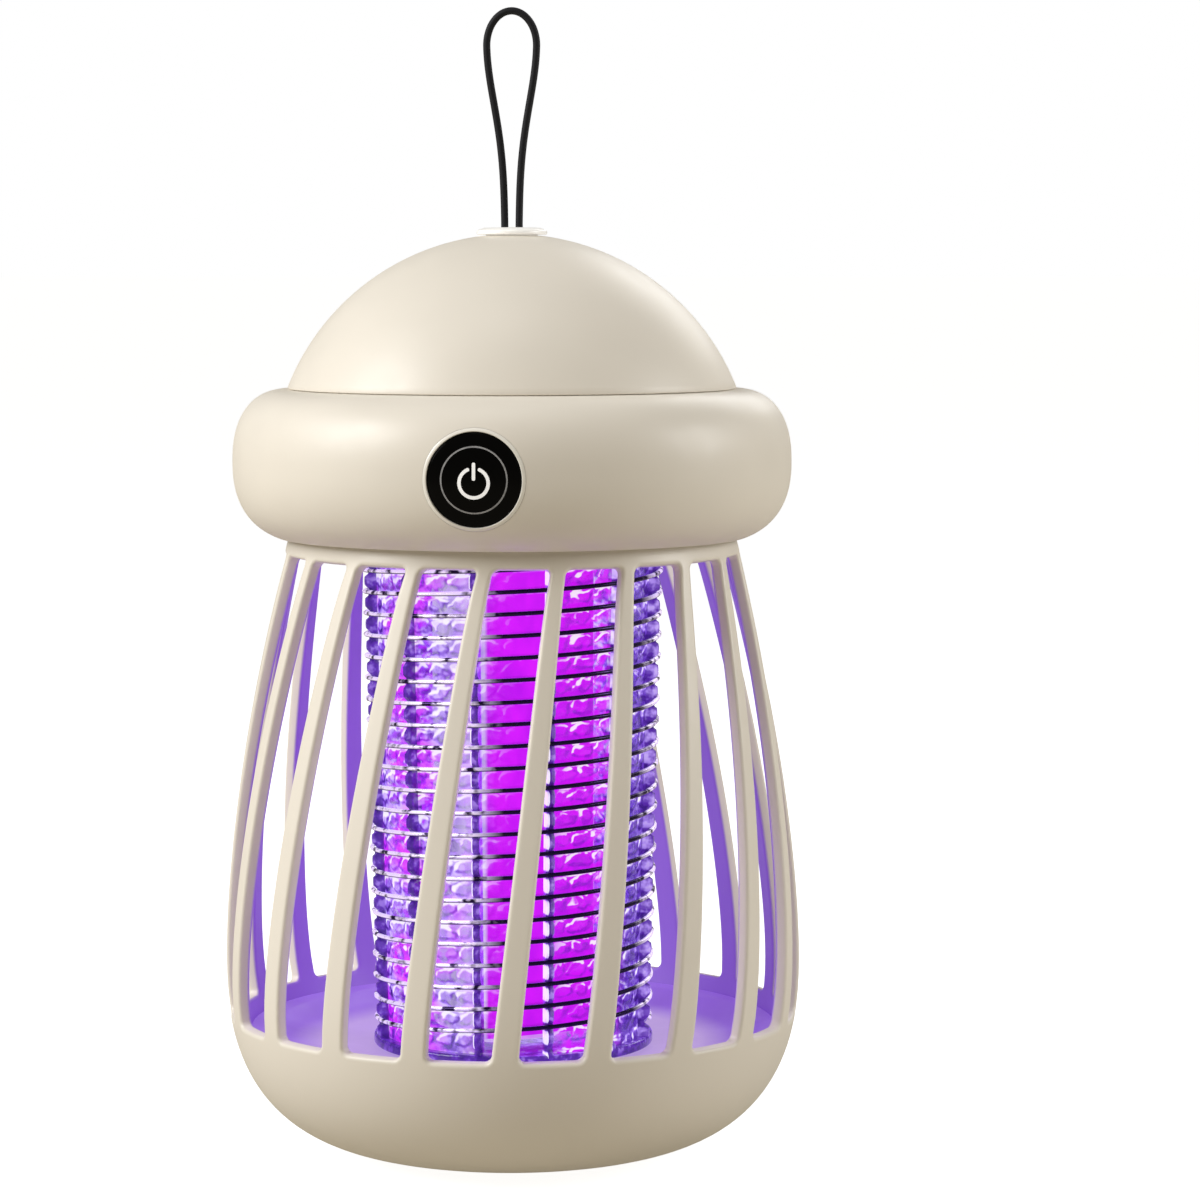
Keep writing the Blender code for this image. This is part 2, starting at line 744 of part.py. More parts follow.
def make_button():
    front = Vector((0, 0, CONTROL_Z))
    wall_r = BEZEL_R - BEZEL_WALL
    far = COLLAR_R + 2 * MM
    bezel = turned(
        "button_bezel",
        [
            (BEZEL_LIP_R, far),
            (BEZEL_R, far),
            (BEZEL_R, BEZEL_BACK),
            (wall_r, BEZEL_BACK),
            (wall_r, BEZEL_LIP),
            (BEZEL_LIP_R, BEZEL_LIP),
        ],
        "cream",
        steps=28,
    )
    bezel.data.transform(Matrix.Translation(front) @ facing((0, -1, 0)))
    follow_collar(bezel, "bezel_trim", 0.0)
    button = stepped_pin(
        "power_button",
        [
            (2.0 * MM, STEM_END, FLANGE_BACK),
            (wall_r - GAP, FLANGE_BACK, FLANGE_FRONT),
            (BUTTON_R, FLANGE_FRONT, far),
        ],
        front,
        (0, -1, 0),
        "black_gloss",
        28,
    )
    follow_collar(button, "button_trim", BUTTON_SINK)
    body = box(
        "switch_body",
        (-3 * MM, SWITCH_FACE, CONTROL_Z - 3 * MM),
        (3 * MM, SWITCH_BACK, CONTROL_Z + 3 * MM),
        "black_plastic",
    )
    cut(body, cylinder("plunger_hole", 1.9 * MM, 41.5 * MM, 46 * MM, front, (0, -1, 0), sides=16))
    cylinder(
        "switch_plunger", 1.6 * MM, PLUNGER_BACK, PLUNGER_FRONT, front, (0, -1, 0), "board_white", 14
    )
    box(
        "switch_board",
        (-8 * MM, SWITCH_BACK + GAP, CONTROL_Z - 4.3 * MM),
        (8 * MM, SWITCH_BACK + GAP + 1.6 * MM, CONTROL_Z + 8 * MM),
        "board_green",
    )


def make_socket():
    front = Vector((0, 0, CONTROL_Z))
    body = box(
        "dc_jack",
        (-4.4 * MM, 38.5 * MM, CONTROL_Z - 4.4 * MM),
        (4.4 * MM, 46.5 * MM, CONTROL_Z + 4.4 * MM),
        "black_plastic",
    )
    join(body, cylinder("jack_nose", JACK_NOSE_R, 45 * MM, JACK_FACE, front, (0, 1, 0), "black_plastic"))
    cut(body, cylinder("jack_bore", JACK_BORE_R, 43 * MM, 55 * MM, front, (0, 1, 0), sides=20))
    cylinder("jack_pin", 0.6 * MM, 43.3 * MM, 51.6 * MM, front, (0, 1, 0), "steel", 10)
    cylinder("charge_lens", CHARGE_R, 47.5 * MM, 53.2 * MM, front, lens_direction(), "lens", 14)


# ---------------------------------------------------------------- grid and lamp


def wire_radius(z):
    share = (z - WIRE_BOTTOM_Z) / (WIRE_TOP_Z - WIRE_BOTTOM_Z)
    return WIRE_BOTTOM_R + (WIRE_TOP_R - WIRE_BOTTOM_R) * share


def wire_path(phase):
    """One right-handed helix, tapering down with the column."""
    turns = (WIRE_TOP_Z - WIRE_BOTTOM_Z) / WIRE_PITCH
    count = round(turns * WIRE_STEPS)
    points = []
    for i in range(count + 1):
        z = WIRE_BOTTOM_Z + (WIRE_TOP_Z - WIRE_BOTTOM_Z) * i / count
        points.append(on_ring(wire_radius(z), phase + math.tau * turns * i / count, z))
    return points


def rib_radius(z):
    """The ribs' outer radius: clear of the middle of each straight stretch of wire."""
    return wire_radius(z) * math.cos(math.pi / WIRE_STEPS) - WIRE_R - GAP


def rib(index):
    """One upright of the grid frame, following the taper just inside the wires."""
    angle = RIB_PHASE + math.tau * index / RIB_COUNT
    bm = bmesh.new()
    rings = []
    for z in (FOOT_TOP - 0.6 * MM, GRID_FLANGE_BOTTOM + 0.6 * MM):
        outside = rib_radius(z)
        ring = []
        for r, side in (
            (outside, -1),
            (outside, 1),
            (outside - RIB_DEPTH, 1),
            (outside - RIB_DEPTH, -1),
        ):
            out = from_front(1.0, angle, 0.0)
            along = Vector((-out.y, out.x, 0.0))
            ring.append(
                bm.verts.new(out * r + along * side * RIB_WIDTH / 2 + Vector((0, 0, z)))
            )
        rings.append(ring)
    low, high = rings
    bm.faces.new(low)
    bm.faces.new(high)
    for j in range(4):
        k = (j + 1) % 4
        bm.faces.new((low[j], low[k], high[k], high[j]))
    return mesh_object(f"rib_{index}", bm, "violet_clear")


def grid_wall():
    """The thin tapered wall between the ribs, from inside the foot to inside the flange."""
    low, high = FOOT_TOP - 0.8 * MM, GRID_FLANGE_BOTTOM + 0.8 * MM
    low_r = rib_radius(low) - GRID_WALL_INSET
    high_r = rib_radius(high) - GRID_WALL_INSET
    return turned(
        "grid_wall",
        [(low_r - GRID_WALL, low), (low_r, low), (high_r, high), (high_r - GRID_WALL, high)],
        "violet_clear",
        steps=36,
    )


def make_grid():
    frame = turned(
        "grid_frame",
        [
            (FLANGE_OPENING, GRID_FLANGE_BOTTOM),
            (FLANGE_R, GRID_FLANGE_BOTTOM),
            (FLANGE_R, GRID_TOP),
            (FLANGE_OPENING, GRID_TOP),
        ],
        "violet_clear",
        steps=36,
    )
    foot = turned(
        "grid_foot",
        [
            (FOOT_OPENING, FOOT_BOTTOM),
            (FOOT_R, FOOT_BOTTOM),
            (FOOT_R, FOOT_TOP - 0.5 * MM),
            (FOOT_R - 1 * MM, FOOT_TOP),
            (FOOT_OPENING, FOOT_TOP),
        ],
        "violet_clear",
        steps=36,
    )
    join(frame, grid_wall(), foot, *[rib(i) for i in range(RIB_COUNT)])
    for i, (r, a) in enumerate(GRID_SCREWS):
        place = on_ring(r, a)
        low, high = GRID_FLANGE_BOTTOM + 0.2 * MM, GRID_TOP + 1 * MM
        cut(frame, cylinder(f"grid_pilot_{i}", 1.2 * MM, low, high, place, (0, 0, 1), sides=10))
    tube("grid_wire_live", wire_path(0.0), WIRE_R, "steel")
    tube("grid_wire_return", wire_path(math.pi), WIRE_R, "steel")


def make_lamp():
    inner = LAMP_HALF - LAMP_WALL
    corner = LAMP_FACE_ANGLE - math.pi / 4
    to_corner = math.sqrt(2)
    turned(
        "lamp_column",
        [
            (inner * to_corner, LAMP_BOTTOM),
            (LAMP_HALF * to_corner, LAMP_BOTTOM),
            (LAMP_HALF * to_corner, LAMP_TOP),
            (inner * to_corner, LAMP_TOP),
        ],
        "lamp",
        steps=4,
        phase=corner,
    )
    near = inner - GAP
    for i in range(4):
        panel = box(
            f"led_panel_{i + 1}",
            (-PANEL_WIDTH / 2, -near, LAMP_BOTTOM + 2 * MM),
            (PANEL_WIDTH / 2, PANEL_THICK - near, LAMP_TOP - 2 * MM),
            "board_white",
        )
        panel.rotation_euler = (0, 0, LAMP_FACE_ANGLE + math.tau * i / 4)


# ----------------------------------------------------------- inside the head


def screw(name, place, axis, head_r, head_h, shaft_r, length):
    stepped_pin(
        name, [(head_r, -head_h, 0.0), (shaft_r, 0.0, length)], place, axis, "steel", 10
    )


def make_screws():
    for i, angle in enumerate(POST_ANGLES):
        place = on_ring(POST_RING_R, angle, DECK_BOTTOM - GAP)
        screw(f"head_screw_{i + 1}", place, (0, 0, 1), 2.8 * MM, 1.5 * MM, 1.15 * MM, 13 * MM)
    for i, (r, a) in enumerate(GRID_SCREWS):
        place = on_ring(r, a, DECK_TOP + GAP)
        screw(f"grid_screw_{i + 1}", place, (0, 0, -1), 2.6 * MM, 1.5 * MM, 0.85 * MM, 5.2 * MM)
    for i, (x, y) in enumerate(BOARD_SCREWS):
        place = Vector((x, y, BOARD_TOP + GAP))
        screw(f"board_screw_{i + 1}", place, (0, 0, -1), 2.2 * MM, 1.2 * MM, 0.75 * MM, 6 * MM)


def make_board():
    board = turned(
        "main_board",
        [(0, BOARD_BOTTOM), (BOARD_R, BOARD_BOTTOM), (BOARD_R, BOARD_TOP), (0, BOARD_TOP)],
        "board_green",
        steps=32,
    )
    low, high = BOARD_BOTTOM - 4 * MM, BOARD_TOP + 4 * MM
    for i, (x, y) in enumerate(BOARD_SCREWS):
        place = Vector((x, y, 0))
        cut(board, cylinder(f"board_hole_{i}", 1.2 * MM, low, high, place, (0, 0, 1), sides=10))
    place = Vector((0, 12.2 * MM, 0))
    cut(board, cylinder("lead_hole", 3 * MM, low, high, place, (0, 0, 1), sides=12))


def make_power():
    low = BOARD_TOP + GAP
    stepped_pin(
        "battery_cell",
        [
            (CELL_R - 0.6 * MM, -CELL_HALF, -CELL_HALF + 0.6 * MM),
            (CELL_R, -CELL_HALF + 0.6 * MM, CELL_HALF - 1.2 * MM),
            (3.0 * MM, CELL_HALF - 1.2 * MM, CELL_HALF),
        ],
        Vector((0, 0, CELL_Z)),
        (1, 0, 0),
        "cell_blue",
        20,
    )
    cradle = box(
        "battery_cradle", (-22 * MM, -10 * MM, low), (22 * MM, 10 * MM, 143.5 * MM), "black_plastic"
    )
    trough = cylinder(
        "cradle_trough", CELL_R + GAP, -30 * MM, 30 * MM, Vector((0, 0, CELL_Z)), (1, 0, 0), sides=20
    )
    cut(cradle, trough)
    box("hv_module", (-11 * MM, 15.4 * MM, low), (11 * MM, 28 * MM, 149 * MM), "epoxy", 1 * MM)
    place = Vector((-9.5 * MM, -18.5 * MM, 0))
    cylinder("hv_capacitor", 4.5 * MM, low, 148 * MM, place, (0, 0, 1), "copper", 16)
    box(
        "boost_transformer",
        (4.5 * MM, -24 * MM, low),
        (15 * MM, -14 * MM, 145 * MM),
        "copper",
        1 * MM,
    )


def bend(points, steps):
    """A smooth path through Bezier points, for a lead."""
    path = []
    for i in range(steps + 1):
        t = i / steps
        a, b, c, d = (Vector(p) * MM for p in points)
        path.append(
            a * (1 - t) ** 3 + b * 3 * t * (1 - t) ** 2 + c * 3 * t * t * (1 - t) + d * t**3
        )
    return path


def make_leads():
    lead_r = 0.55 * MM
    leads = {
        "battery_lead_plus": ("wire_red", (34, 0, 148), (38, 1, 142), (34, 8, 138), (26, 8, 136.6)),
        "battery_lead_minus": (
            "black_cord",
            (-34, 0, 148),
            (-38, 1, 142),
            (-34, 8, 138),
            (-26, 8, 136.6),
        ),
        "jack_lead": ("wire_red", (8, 38.6, 137), (12, 34, 137), (18, 30, 137), (20, 20.5, 136.9)),
        "button_lead": ("black_cord", (5, -37.6, 136), (7, -33, 139), (6, -30, 139), (3, -28, 136.8)),
        "lamp_lead": ("black_cord", (0, 5, 133), (0, 5, 128), (0, 4, 124), (2, 2, 119)),
        "hv_lead_live": ("wire_red", (4, -4, 133), (5, -4, 126), (5, -5, 120), (17, -17, 120)),
        "hv_lead_return": ("black_cord", (-4, 4, 133), (-5, 4, 126), (-5, 5, 120), (-17, 17, 120)),
    }
    for name, (paint, *points) in leads.items():
        tube(name, bend(points, 7), lead_r, paint)


def main():
    clear_scene()
    make_cage()
    make_bowl_fittings()
    make_collar()
    make_dome()
    make_deck()
    make_cap()
    make_cord()
    make_button()
    make_socket()
    make_grid()
    make_lamp()
    make_screws()
    make_board()
    make_power()
    make_leads()


main()
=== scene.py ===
"""Looks of the hanging bug zapper: fine surfaces, materials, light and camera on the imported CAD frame."""

import json
from math import acos, asin, atan2, copysign, cos, hypot, pi, radians, sin, sqrt, tan, tau

import bmesh
import bpy
from mathutils import Matrix, Vector

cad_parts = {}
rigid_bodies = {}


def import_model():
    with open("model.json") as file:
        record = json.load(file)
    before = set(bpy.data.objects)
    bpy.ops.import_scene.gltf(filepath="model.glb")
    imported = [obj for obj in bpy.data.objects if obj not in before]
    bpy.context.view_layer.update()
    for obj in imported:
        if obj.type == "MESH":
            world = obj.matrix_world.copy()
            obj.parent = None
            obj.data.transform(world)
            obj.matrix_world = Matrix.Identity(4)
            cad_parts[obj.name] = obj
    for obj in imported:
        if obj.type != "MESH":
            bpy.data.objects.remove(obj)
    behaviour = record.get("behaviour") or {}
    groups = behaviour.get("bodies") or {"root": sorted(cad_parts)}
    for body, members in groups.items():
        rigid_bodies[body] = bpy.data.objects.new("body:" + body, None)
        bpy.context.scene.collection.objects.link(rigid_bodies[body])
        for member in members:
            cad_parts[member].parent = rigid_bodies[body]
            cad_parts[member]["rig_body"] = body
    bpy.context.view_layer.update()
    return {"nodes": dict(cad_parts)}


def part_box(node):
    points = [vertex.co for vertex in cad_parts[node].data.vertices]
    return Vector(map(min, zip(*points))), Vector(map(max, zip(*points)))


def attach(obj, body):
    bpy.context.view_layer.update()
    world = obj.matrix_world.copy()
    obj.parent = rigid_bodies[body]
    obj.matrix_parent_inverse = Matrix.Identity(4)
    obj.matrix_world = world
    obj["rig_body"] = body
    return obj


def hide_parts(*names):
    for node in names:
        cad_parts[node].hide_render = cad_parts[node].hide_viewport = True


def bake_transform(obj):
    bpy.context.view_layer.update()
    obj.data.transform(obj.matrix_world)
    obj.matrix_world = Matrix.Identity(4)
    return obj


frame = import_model()

MM = 0.001

# Heights and radii that come from the frame.
COLLAR_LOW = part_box("collar_shell")[0]
CAP_LOW, CAP_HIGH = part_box("hang_cap")
TRAY_LOW, TRAY_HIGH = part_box("bug_tray")
SEAL_LOW, SEAL_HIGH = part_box("neck_seal")
FOOT_LOW, FOOT_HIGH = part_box("foot_ring")
FRAME_LOW, FRAME_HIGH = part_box("grid_frame")
LAMP_LOW, LAMP_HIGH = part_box("lamp_column")
CAGE_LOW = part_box("cage_bowl")[0]
JACK_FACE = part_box("dc_jack")[1].y

# Cage and bowl.
WIDEST_R = 55.0 * MM
WIDEST_Z = 37.7 * MM
NECK_R = 42.6 * MM
NECK_Z = 118.1 * MM
BELLY_POWER = 1.66
FLAT_R = 20.0 * MM
BOTTOM_Z = CAGE_LOW.z
BOWL_POWER = 2.5
WALL = 2.4 * MM
SLOT_TOP = 115.0 * MM
SLOT_BOTTOM = 26.6 * MM
SLOT_CORNER = 1.3 * MM
EDGE_FILLET = 0.65 * MM
PATCH_ABOVE = 1.25 * MM
PATCH_BELOW = 2.6 * MM
BAR_COUNT = 20
BAR_PHASE = radians(1.0)
BAR_TWIST = radians(-13.2)
TWIST_POWER = 0.75
BAR_TOP_WIDTH = 2.6 * MM
BAR_BOTTOM_WIDTH = 5.0 * MM
SPIGOT_R = 41.2 * MM
SPIGOT_IN = 39.0 * MM
SPIGOT_TOP = 124.0 * MM
LEDGE_Z = 22.6 * MM
LEDGE_R = 48.4 * MM
LUG_COUNT = 3
LUG_HALF = radians(13)
LUG_BOTTOM = 121.7 * MM
LUG_TOP = 123.5 * MM
LUG_R = 42.3 * MM
LUG_STEPS = 12
FILLET_STEPS = 4
GROOVE_Z = 2 * MM
FOOT_HOLE = 12.5 * MM
TRAY_THICK = 1.3 * MM
TRAY_FLAT_R = 30 * MM

# Collar and dome.
COLLAR_R = 53.15 * MM
COLLAR_Z = 132.5 * MM
COLLAR_TOP_R = 43.0 * MM
COLLAR_TOP_H = 13.6 * MM
COLLAR_TOP_POWER = 2.3
COLLAR_LOW_R = 38.0 * MM
COLLAR_LOW_H = 15.3 * MM
COLLAR_LOW_POWER = 2.4
COLLAR_LIP_R = 44.75 * MM
COLLAR_OPENING = 42.0 * MM
COLLAR_WALL = 2.2 * MM
COLLAR_STEPS = 34
DOME_R = 45.9 * MM
DOME_Z = 129.5 * MM
DOME_RIM_Z = 146.15 * MM
DOME_HOLE_R = 5.5 * MM
DOME_STEP = 3.9 * MM
DOME_STEP_R = 41.6 * MM
DOME_STEP_IN = 39.8 * MM
DOME_STEPS = 48
HOLLOW_SHARE = 0.955
CAP_R = 6.7 * MM
CAP_PLUG_R = 4.9 * MM

# Button, in the collar's front, and socket in its back.
CONTROL_Z = 131.5 * MM
BUTTON_R = 8.55 * MM
BUTTON_HOLE_R = 9.34 * MM
RIM_R = 9.3 * MM
BUTTON_SINK = 0.2 * MM
BUTTON_DEEP = 3 * MM
RIM_DEEP = 4 * MM
PRINT_THICK = 0.02 * MM
RING_R = 5.95 * MM
RING_WIDTH = 0.28 * MM
ICON_R = 2.62 * MM
ICON_DROP = 0.5 * MM
ICON_STROKE = 0.62 * MM
ICON_GAP = radians(24)
ICON_BAR = (0.75 * MM, 3.35 * MM)
JACK_HOLE_R = 4.55 * MM
SOCKET_R = 4.4 * MM
SOCKET_BORE_R = 1.95 * MM
SOCKET_BACK = 40 * MM
SOCKET_FLOOR = 43 * MM
PIN_R = 0.6 * MM
LENS_TILT = radians(12.5)
LENS_R = 1.25 * MM

# Cord loop.
CORD_R = 0.7 * MM
CORD_HALF = 1.38 * MM
CORD_WIDE = 4.75 * MM
CORD_WIDE_Z = 210.9 * MM
CORD_ARCH = 1.36
CORD_SPREAD = 0.18
CORD_LEG_STEPS = 60
CORD_ARCH_STEPS = 32
CORD_PIVOT_Z = 177.6 * MM

# Grid and lamp.
WIRE_R = 0.43 * MM
WIRE_TOP_Z = 117.0 * MM
WIRE_BOTTOM_Z = 25.4 * MM
WIRE_TOP_R = 28.5 * MM
WIRE_BOTTOM_R = 26.3 * MM
WIRE_PITCH = 8.2 * MM
WIRE_STEPS = 48
RIB_COUNT = 12
RIB_PHASE = radians(22.5)
RIB_WIDTH = 1.5 * MM
RIB_DEPTH = 2.4 * MM
TOOTH_DEPTH = 1.1 * MM
WALL_INSET = 1.5 * MM
WALL_THICK = 1.0 * MM
FLANGE_IN = 23.5 * MM
LENS_BULGE = 0.3 * MM
BEADS = 3.0
FOOT_OUT = 26.8 * MM
FOOT_IN = 10.0 * MM
LAMP_HALF = 12.0 * MM
LAMP_CORNER = 2.0 * MM
LAMP_CORNER_STEPS = 6
LAMP_ROWS = 24
LAMP_FACE_ANGLE = radians(34.5)

# Camera, as far off and as high as the lamp is photographed from.
CAMERA_DISTANCE = 0.762
CAMERA_HEIGHT = 0.1705
CAMERA_AZIMUTH = radians(7.5)
CAMERA_LENS = 120.0
AIM_RIGHT = 0.0167
AIM_HEIGHT = 0.1057

# Light: how strongly each source lights a surface that faces it.
WORLD_LIGHT = 0.25
WORLD_TINT = (1.0, 0.93, 0.82)
BACKDROP = 1.0
FLOOR_BOUNCE = (0.30, 0.27, 0.215)
FLOOR_GLOW = (0.22, 0.20, 0.16)
FLOOR_SEEN = (0.47, 0.49, 0.52)
FLOOR_LIFT = 0.88
KEY_POWER = 10.8
FILL_POWER = 4.4
TOP_POWER = 0.9
BACK_POWER = 2.0
LAMP_POWER = 0.016
LAMP_COLOUR = (0.35, 0.08, 1.0)

AROUND = 192
ON_AXIS = 1e-9
FLOOR_HALF = 40.0


# --- materials


class Paint:
    """A node material: a Principled shader and short ways to feed it."""

    def __init__(self, name, colour, roughness=0.5, metallic=0.0):
        self.material = bpy.data.materials.new(name)
        self.material.use_nodes = True
        self.tree = self.material.node_tree
        self.shader = self.tree.nodes["Principled BSDF"]
        self.base(colour)
        self.rough(roughness)
        self.put("Metallic", metallic)
        self.place = self.node("ShaderNodeTexCoord").outputs["Object"]

    def node(self, kind, **settings):
        made = self.tree.nodes.new(kind)
        for key, value in settings.items():
            setattr(made, key, value)
        return made

    def link(self, source, target):
        self.tree.links.new(source, target)

    def feed(self, source, target):
        """Links a socket, or sets a plain value."""
        if isinstance(source, (int, float)):
            target.default_value = source
        elif isinstance(source, tuple):
            target.default_value = (*source, 1.0) if len(source) == 3 else source
        else:
            self.link(source, target)

    def math(self, operation, a, b=0.0, c=0.0):
        made = self.node("ShaderNodeMath", operation=operation)
        for value, target in zip((a, b, c), made.inputs):
            self.feed(value, target)
        return made.outputs[0]

    def times(self, a, b):
        return self.math("MULTIPLY", a, b)

    def scaled(self, value, factor, plus):
        return self.math("MULTIPLY_ADD", value, factor, plus)

    def minus(self, a, b):
        return self.math("SUBTRACT", a, b)

    def larger(self, a, b):
        return self.math("MAXIMUM", a, b)

    def unsigned(self, value):
        return self.math("ABSOLUTE", value)

    def normal(self):
        return self.node("ShaderNodeTexCoord").outputs["Normal"]

    def front_side(self):
        """1 on the outside of a surface, 0 seen from behind."""
        return self.minus(1.0, self.node("ShaderNodeNewGeometry").outputs["Backfacing"])

    def parts(self, vector=None):
        """The three sockets of a vector, by default of the place."""
        made = self.node("ShaderNodeSeparateXYZ")
        self.link(vector or self.place, made.inputs[0])
        return made.outputs

    def vector(self, operation, a, b=None):
        made = self.node("ShaderNodeVectorMath", operation=operation)
        self.link(a, made.inputs[0])
        if isinstance(b, (tuple, Vector)):
            made.inputs[1].default_value = b
        elif b:
            self.link(b, made.inputs[1])
        return made

    def dot(self, a, b):
        return self.vector("DOT_PRODUCT", a, b).outputs["Value"]

    def flat_place(self):
        return self.vector("MULTIPLY", self.place, (1.0, 1.0, 0.0)).outputs[0]

    def from_axis(self):
        """Distance from the Z axis."""
        return self.vector("LENGTH", self.flat_place()).outputs["Value"]

    def outward(self):
        """Unit vector away from the Z axis."""
        return self.vector("NORMALIZE", self.flat_place()).outputs[0]

    def noise(self, scale, detail=3.0, stretch=None):
        """Noise of about 1/scale metres, optionally stretched along the axes."""
        made = self.node("ShaderNodeTexNoise")
        made.inputs["Scale"].default_value = scale
        made.inputs["Detail"].default_value = detail
        place = self.place
        if stretch:
            mapping = self.node("ShaderNodeMapping")
            mapping.inputs["Scale"].default_value = stretch
            self.link(place, mapping.inputs["Vector"])
            place = mapping.outputs["Vector"]
        self.link(place, made.inputs["Vector"])
        return made.outputs["Fac"]

    def between(self, value, low, high, out_low=0.0, out_high=1.0):
        made = self.node("ShaderNodeMapRange", clamp=True)
        self.feed(value, made.inputs["Value"])
        for key, number in zip(("From Min", "From Max", "To Min", "To Max"), (low, high, out_low, out_high)):
            made.inputs[key].default_value = number
        return made.outputs["Result"]

    def patches(self, scale, detail, low, high, out_low=0.0, out_high=1.0):
        """Noise with its middle stretched to run from one value to the other."""
        return self.between(self.noise(scale, detail), low, high, out_low, out_high)

    def mix(self, factor, a, b):
        made = self.node("ShaderNodeMix", data_type="RGBA")
        self.feed(factor, made.inputs["Factor"])
        self.feed(a, made.inputs["A"])
        self.feed(b, made.inputs["B"])
        return made.outputs["Result"]

    def ramp(self, factor, stops):
        """A smooth run of colours; stops holds (place, colour) pairs."""
        made = self.node("ShaderNodeValToRGB")
        points = made.color_ramp.elements
        while len(points) < len(stops):
            points.new(0.5)
        for point, (place, colour) in zip(points, stops):
            point.position = place
            point.color = (*colour, 1.0)
        self.feed(factor, made.inputs["Fac"])
        return made.outputs["Color"]

    def put(self, name, source):
        """Feeds one of the shader's inputs."""
        self.feed(source, self.shader.inputs[name])

    def base(self, source):
        self.put("Base Color", source)

    def rough(self, source):
        self.put("Roughness", source)

    def bump(self, height, strength, distance=0.1 * MM):
        made = self.node("ShaderNodeBump")
        made.inputs["Strength"].default_value = strength
        made.inputs["Distance"].default_value = distance
        self.feed(height, made.inputs["Height"])
        self.link(made.outputs["Normal"], self.shader.inputs["Normal"])

    def glow(self, colour, strength):
        self.put("Emission Color", colour)
        self.put("Emission Strength", strength)


def shade(colour, factor):
    return tuple(min(1.0, c * factor) for c in colour)


def moulded(name, colour, roughness, grain=0.12, coat=0.0):
    """Moulded plastic: a fine texture, faint flow marks and slightly uneven gloss."""
    paint = Paint(name, colour, roughness)
    flow = paint.noise(35.0, 2.0)
    paint.base(paint.mix(paint.between(flow, 0.3, 0.7), shade(colour, 0.97), shade(colour, 1.02)))
    paint.rough(paint.patches(220.0, 4.0, 0.3, 0.7, roughness - 0.04, roughness + 0.05))
    paint.bump(paint.noise(5200.0, 2.0), grain, 0.05 * MM)
    paint.put("Coat Weight", coat)
    paint.put("Coat Roughness", 0.25)
    return paint


CREAM = (0.83, 0.778, 0.685)
VIOLET = (0.22, 0.085, 0.58)
LIT_BASE = (0.20, 0.13, 0.34)
LAVENDER = (0.50, 0.36, 0.66)


def facing_axis(paint):
    """1 on surfaces that look at the lamp's axis, -1 on those that look away from it."""
    normal = paint.normal()
    return paint.times(paint.dot(paint.outward(), normal), -1.0)


def lamp_lit(paint, reach, plain, colour=VIOLET, strength=0.55):
    """Tints a surface with the lamp's violet where reach says that the lamp shines on it."""
    uneven = paint.patches(28.0, 1.0, 0.25, 0.75, 0.85, 1.1)
    amount = paint.times(reach, uneven)
    paint.base(paint.mix(reach, plain, LIT_BASE))
    paint.glow(colour, paint.times(amount, strength))


# Plain moulded plastics: (name, colour, roughness, grain).
MOULDED = {
    "deck": ("cream_deck", CREAM, 0.45, 0.12),
    "rubber": ("foot_rubber", (0.045, 0.045, 0.045), 0.75, 0.4),
    "seal": ("seal_silicone", (0.34, 0.31, 0.26), 0.6, 0.2),
    "sleeve": ("cell_sleeve", (0.02, 0.10, 0.36), 0.35, 0.05),
    "black": ("black_plastic", (0.022, 0.022, 0.024), 0.42, 0.25),
    "epoxy": ("potting_epoxy", (0.02, 0.02, 0.022), 0.22, 0.4),
    "red_wire": ("lead_red", (0.50, 0.02, 0.015), 0.4, 0.12),
    "black_wire": ("lead_black", (0.02, 0.02, 0.02), 0.4, 0.12),
    "lens": ("light_pipe", (0.70, 0.78, 0.70), 0.15, 0.02),
}


def make_paints():
    paints = {key: moulded(*look) for key, look in MOULDED.items()}
    paints["cream"] = moulded("cream_shell", CREAM, 0.44, coat=0.08)
    paints["rim"] = moulded("button_rim", (0.90, 0.87, 0.79), 0.3, grain=0.05, coat=0.3)
    paints["cage"] = lit_cage()
    paints["tray"] = lit_tray()
    paints["pearl"] = pearl_cap_painted_glow()
    paints["button"] = gloss_black()
    paints["print_white"] = printed("print_white", (0.88, 0.88, 0.88), (0.95, 0.95, 0.95))
    # Painted light: the white print glows faintly, so that it reads brighter than its lighting makes it.
    paints["print_white"].glow((1.0, 1.0, 1.0), 0.25)
    paints["print_grey"] = printed("print_grey", (0.26, 0.26, 0.27), (0.36, 0.36, 0.37))
    paints["cord"] = braided()
    paints["wire"] = grid_wire()
    paints["screw"] = drawn_steel("screw_steel", (0.55, 0.55, 0.57), 0.3)
    paints["brass"] = drawn_steel("contact_brass", (0.78, 0.58, 0.28), 0.25)
    paints["clear"] = clear_plastic()
    paints["wall"] = lens_wall()
    paints["lamp"] = lamp_diffuser()
    paints["green"] = circuit_board("board_green", (0.012, 0.11, 0.045), (0.03, 0.22, 0.09))
    paints["white_board"] = circuit_board("board_white", (0.72, 0.72, 0.72), (0.82, 0.82, 0.80))
    paints["copper"] = wound_copper()
    return paints


def lit_cage():
    """Cream plastic, with painted violet lamp light where it looks at the lamp from below the neck."""
    paint = moulded("cream_cage", CREAM, 0.42, coat=0.1)
    inward = paint.between(facing_axis(paint), 0.1, 0.7)
    low = paint.between(paint.parts()[2], NECK_Z, NECK_Z - 3 * MM)
    lamp_lit(paint, paint.times(inward, low), CREAM)
    return paint


def lit_tray():
    paint = moulded("cream_tray", shade(CREAM, 0.95), 0.45)
    rim = paint.between(paint.from_axis(), 36 * MM, 43 * MM)
    # Painted lamp light: the dish glows lavender in its middle and violet towards its rim.
    lamp_lit(paint, 1.0, CREAM, paint.mix(rim, LAVENDER, VIOLET), 0.75)
    return paint


def gloss_black():
    paint = Paint("button_black", (0.001, 0.001, 0.001), 0.15)
    paint.rough(paint.patches(300.0, 5.0, 0.35, 0.75, 0.12, 0.24))
    paint.bump(paint.noise(900.0, 2.0), 0.02, 0.05 * MM)
    paint.put("Specular IOR Level", 0.08)
    return paint


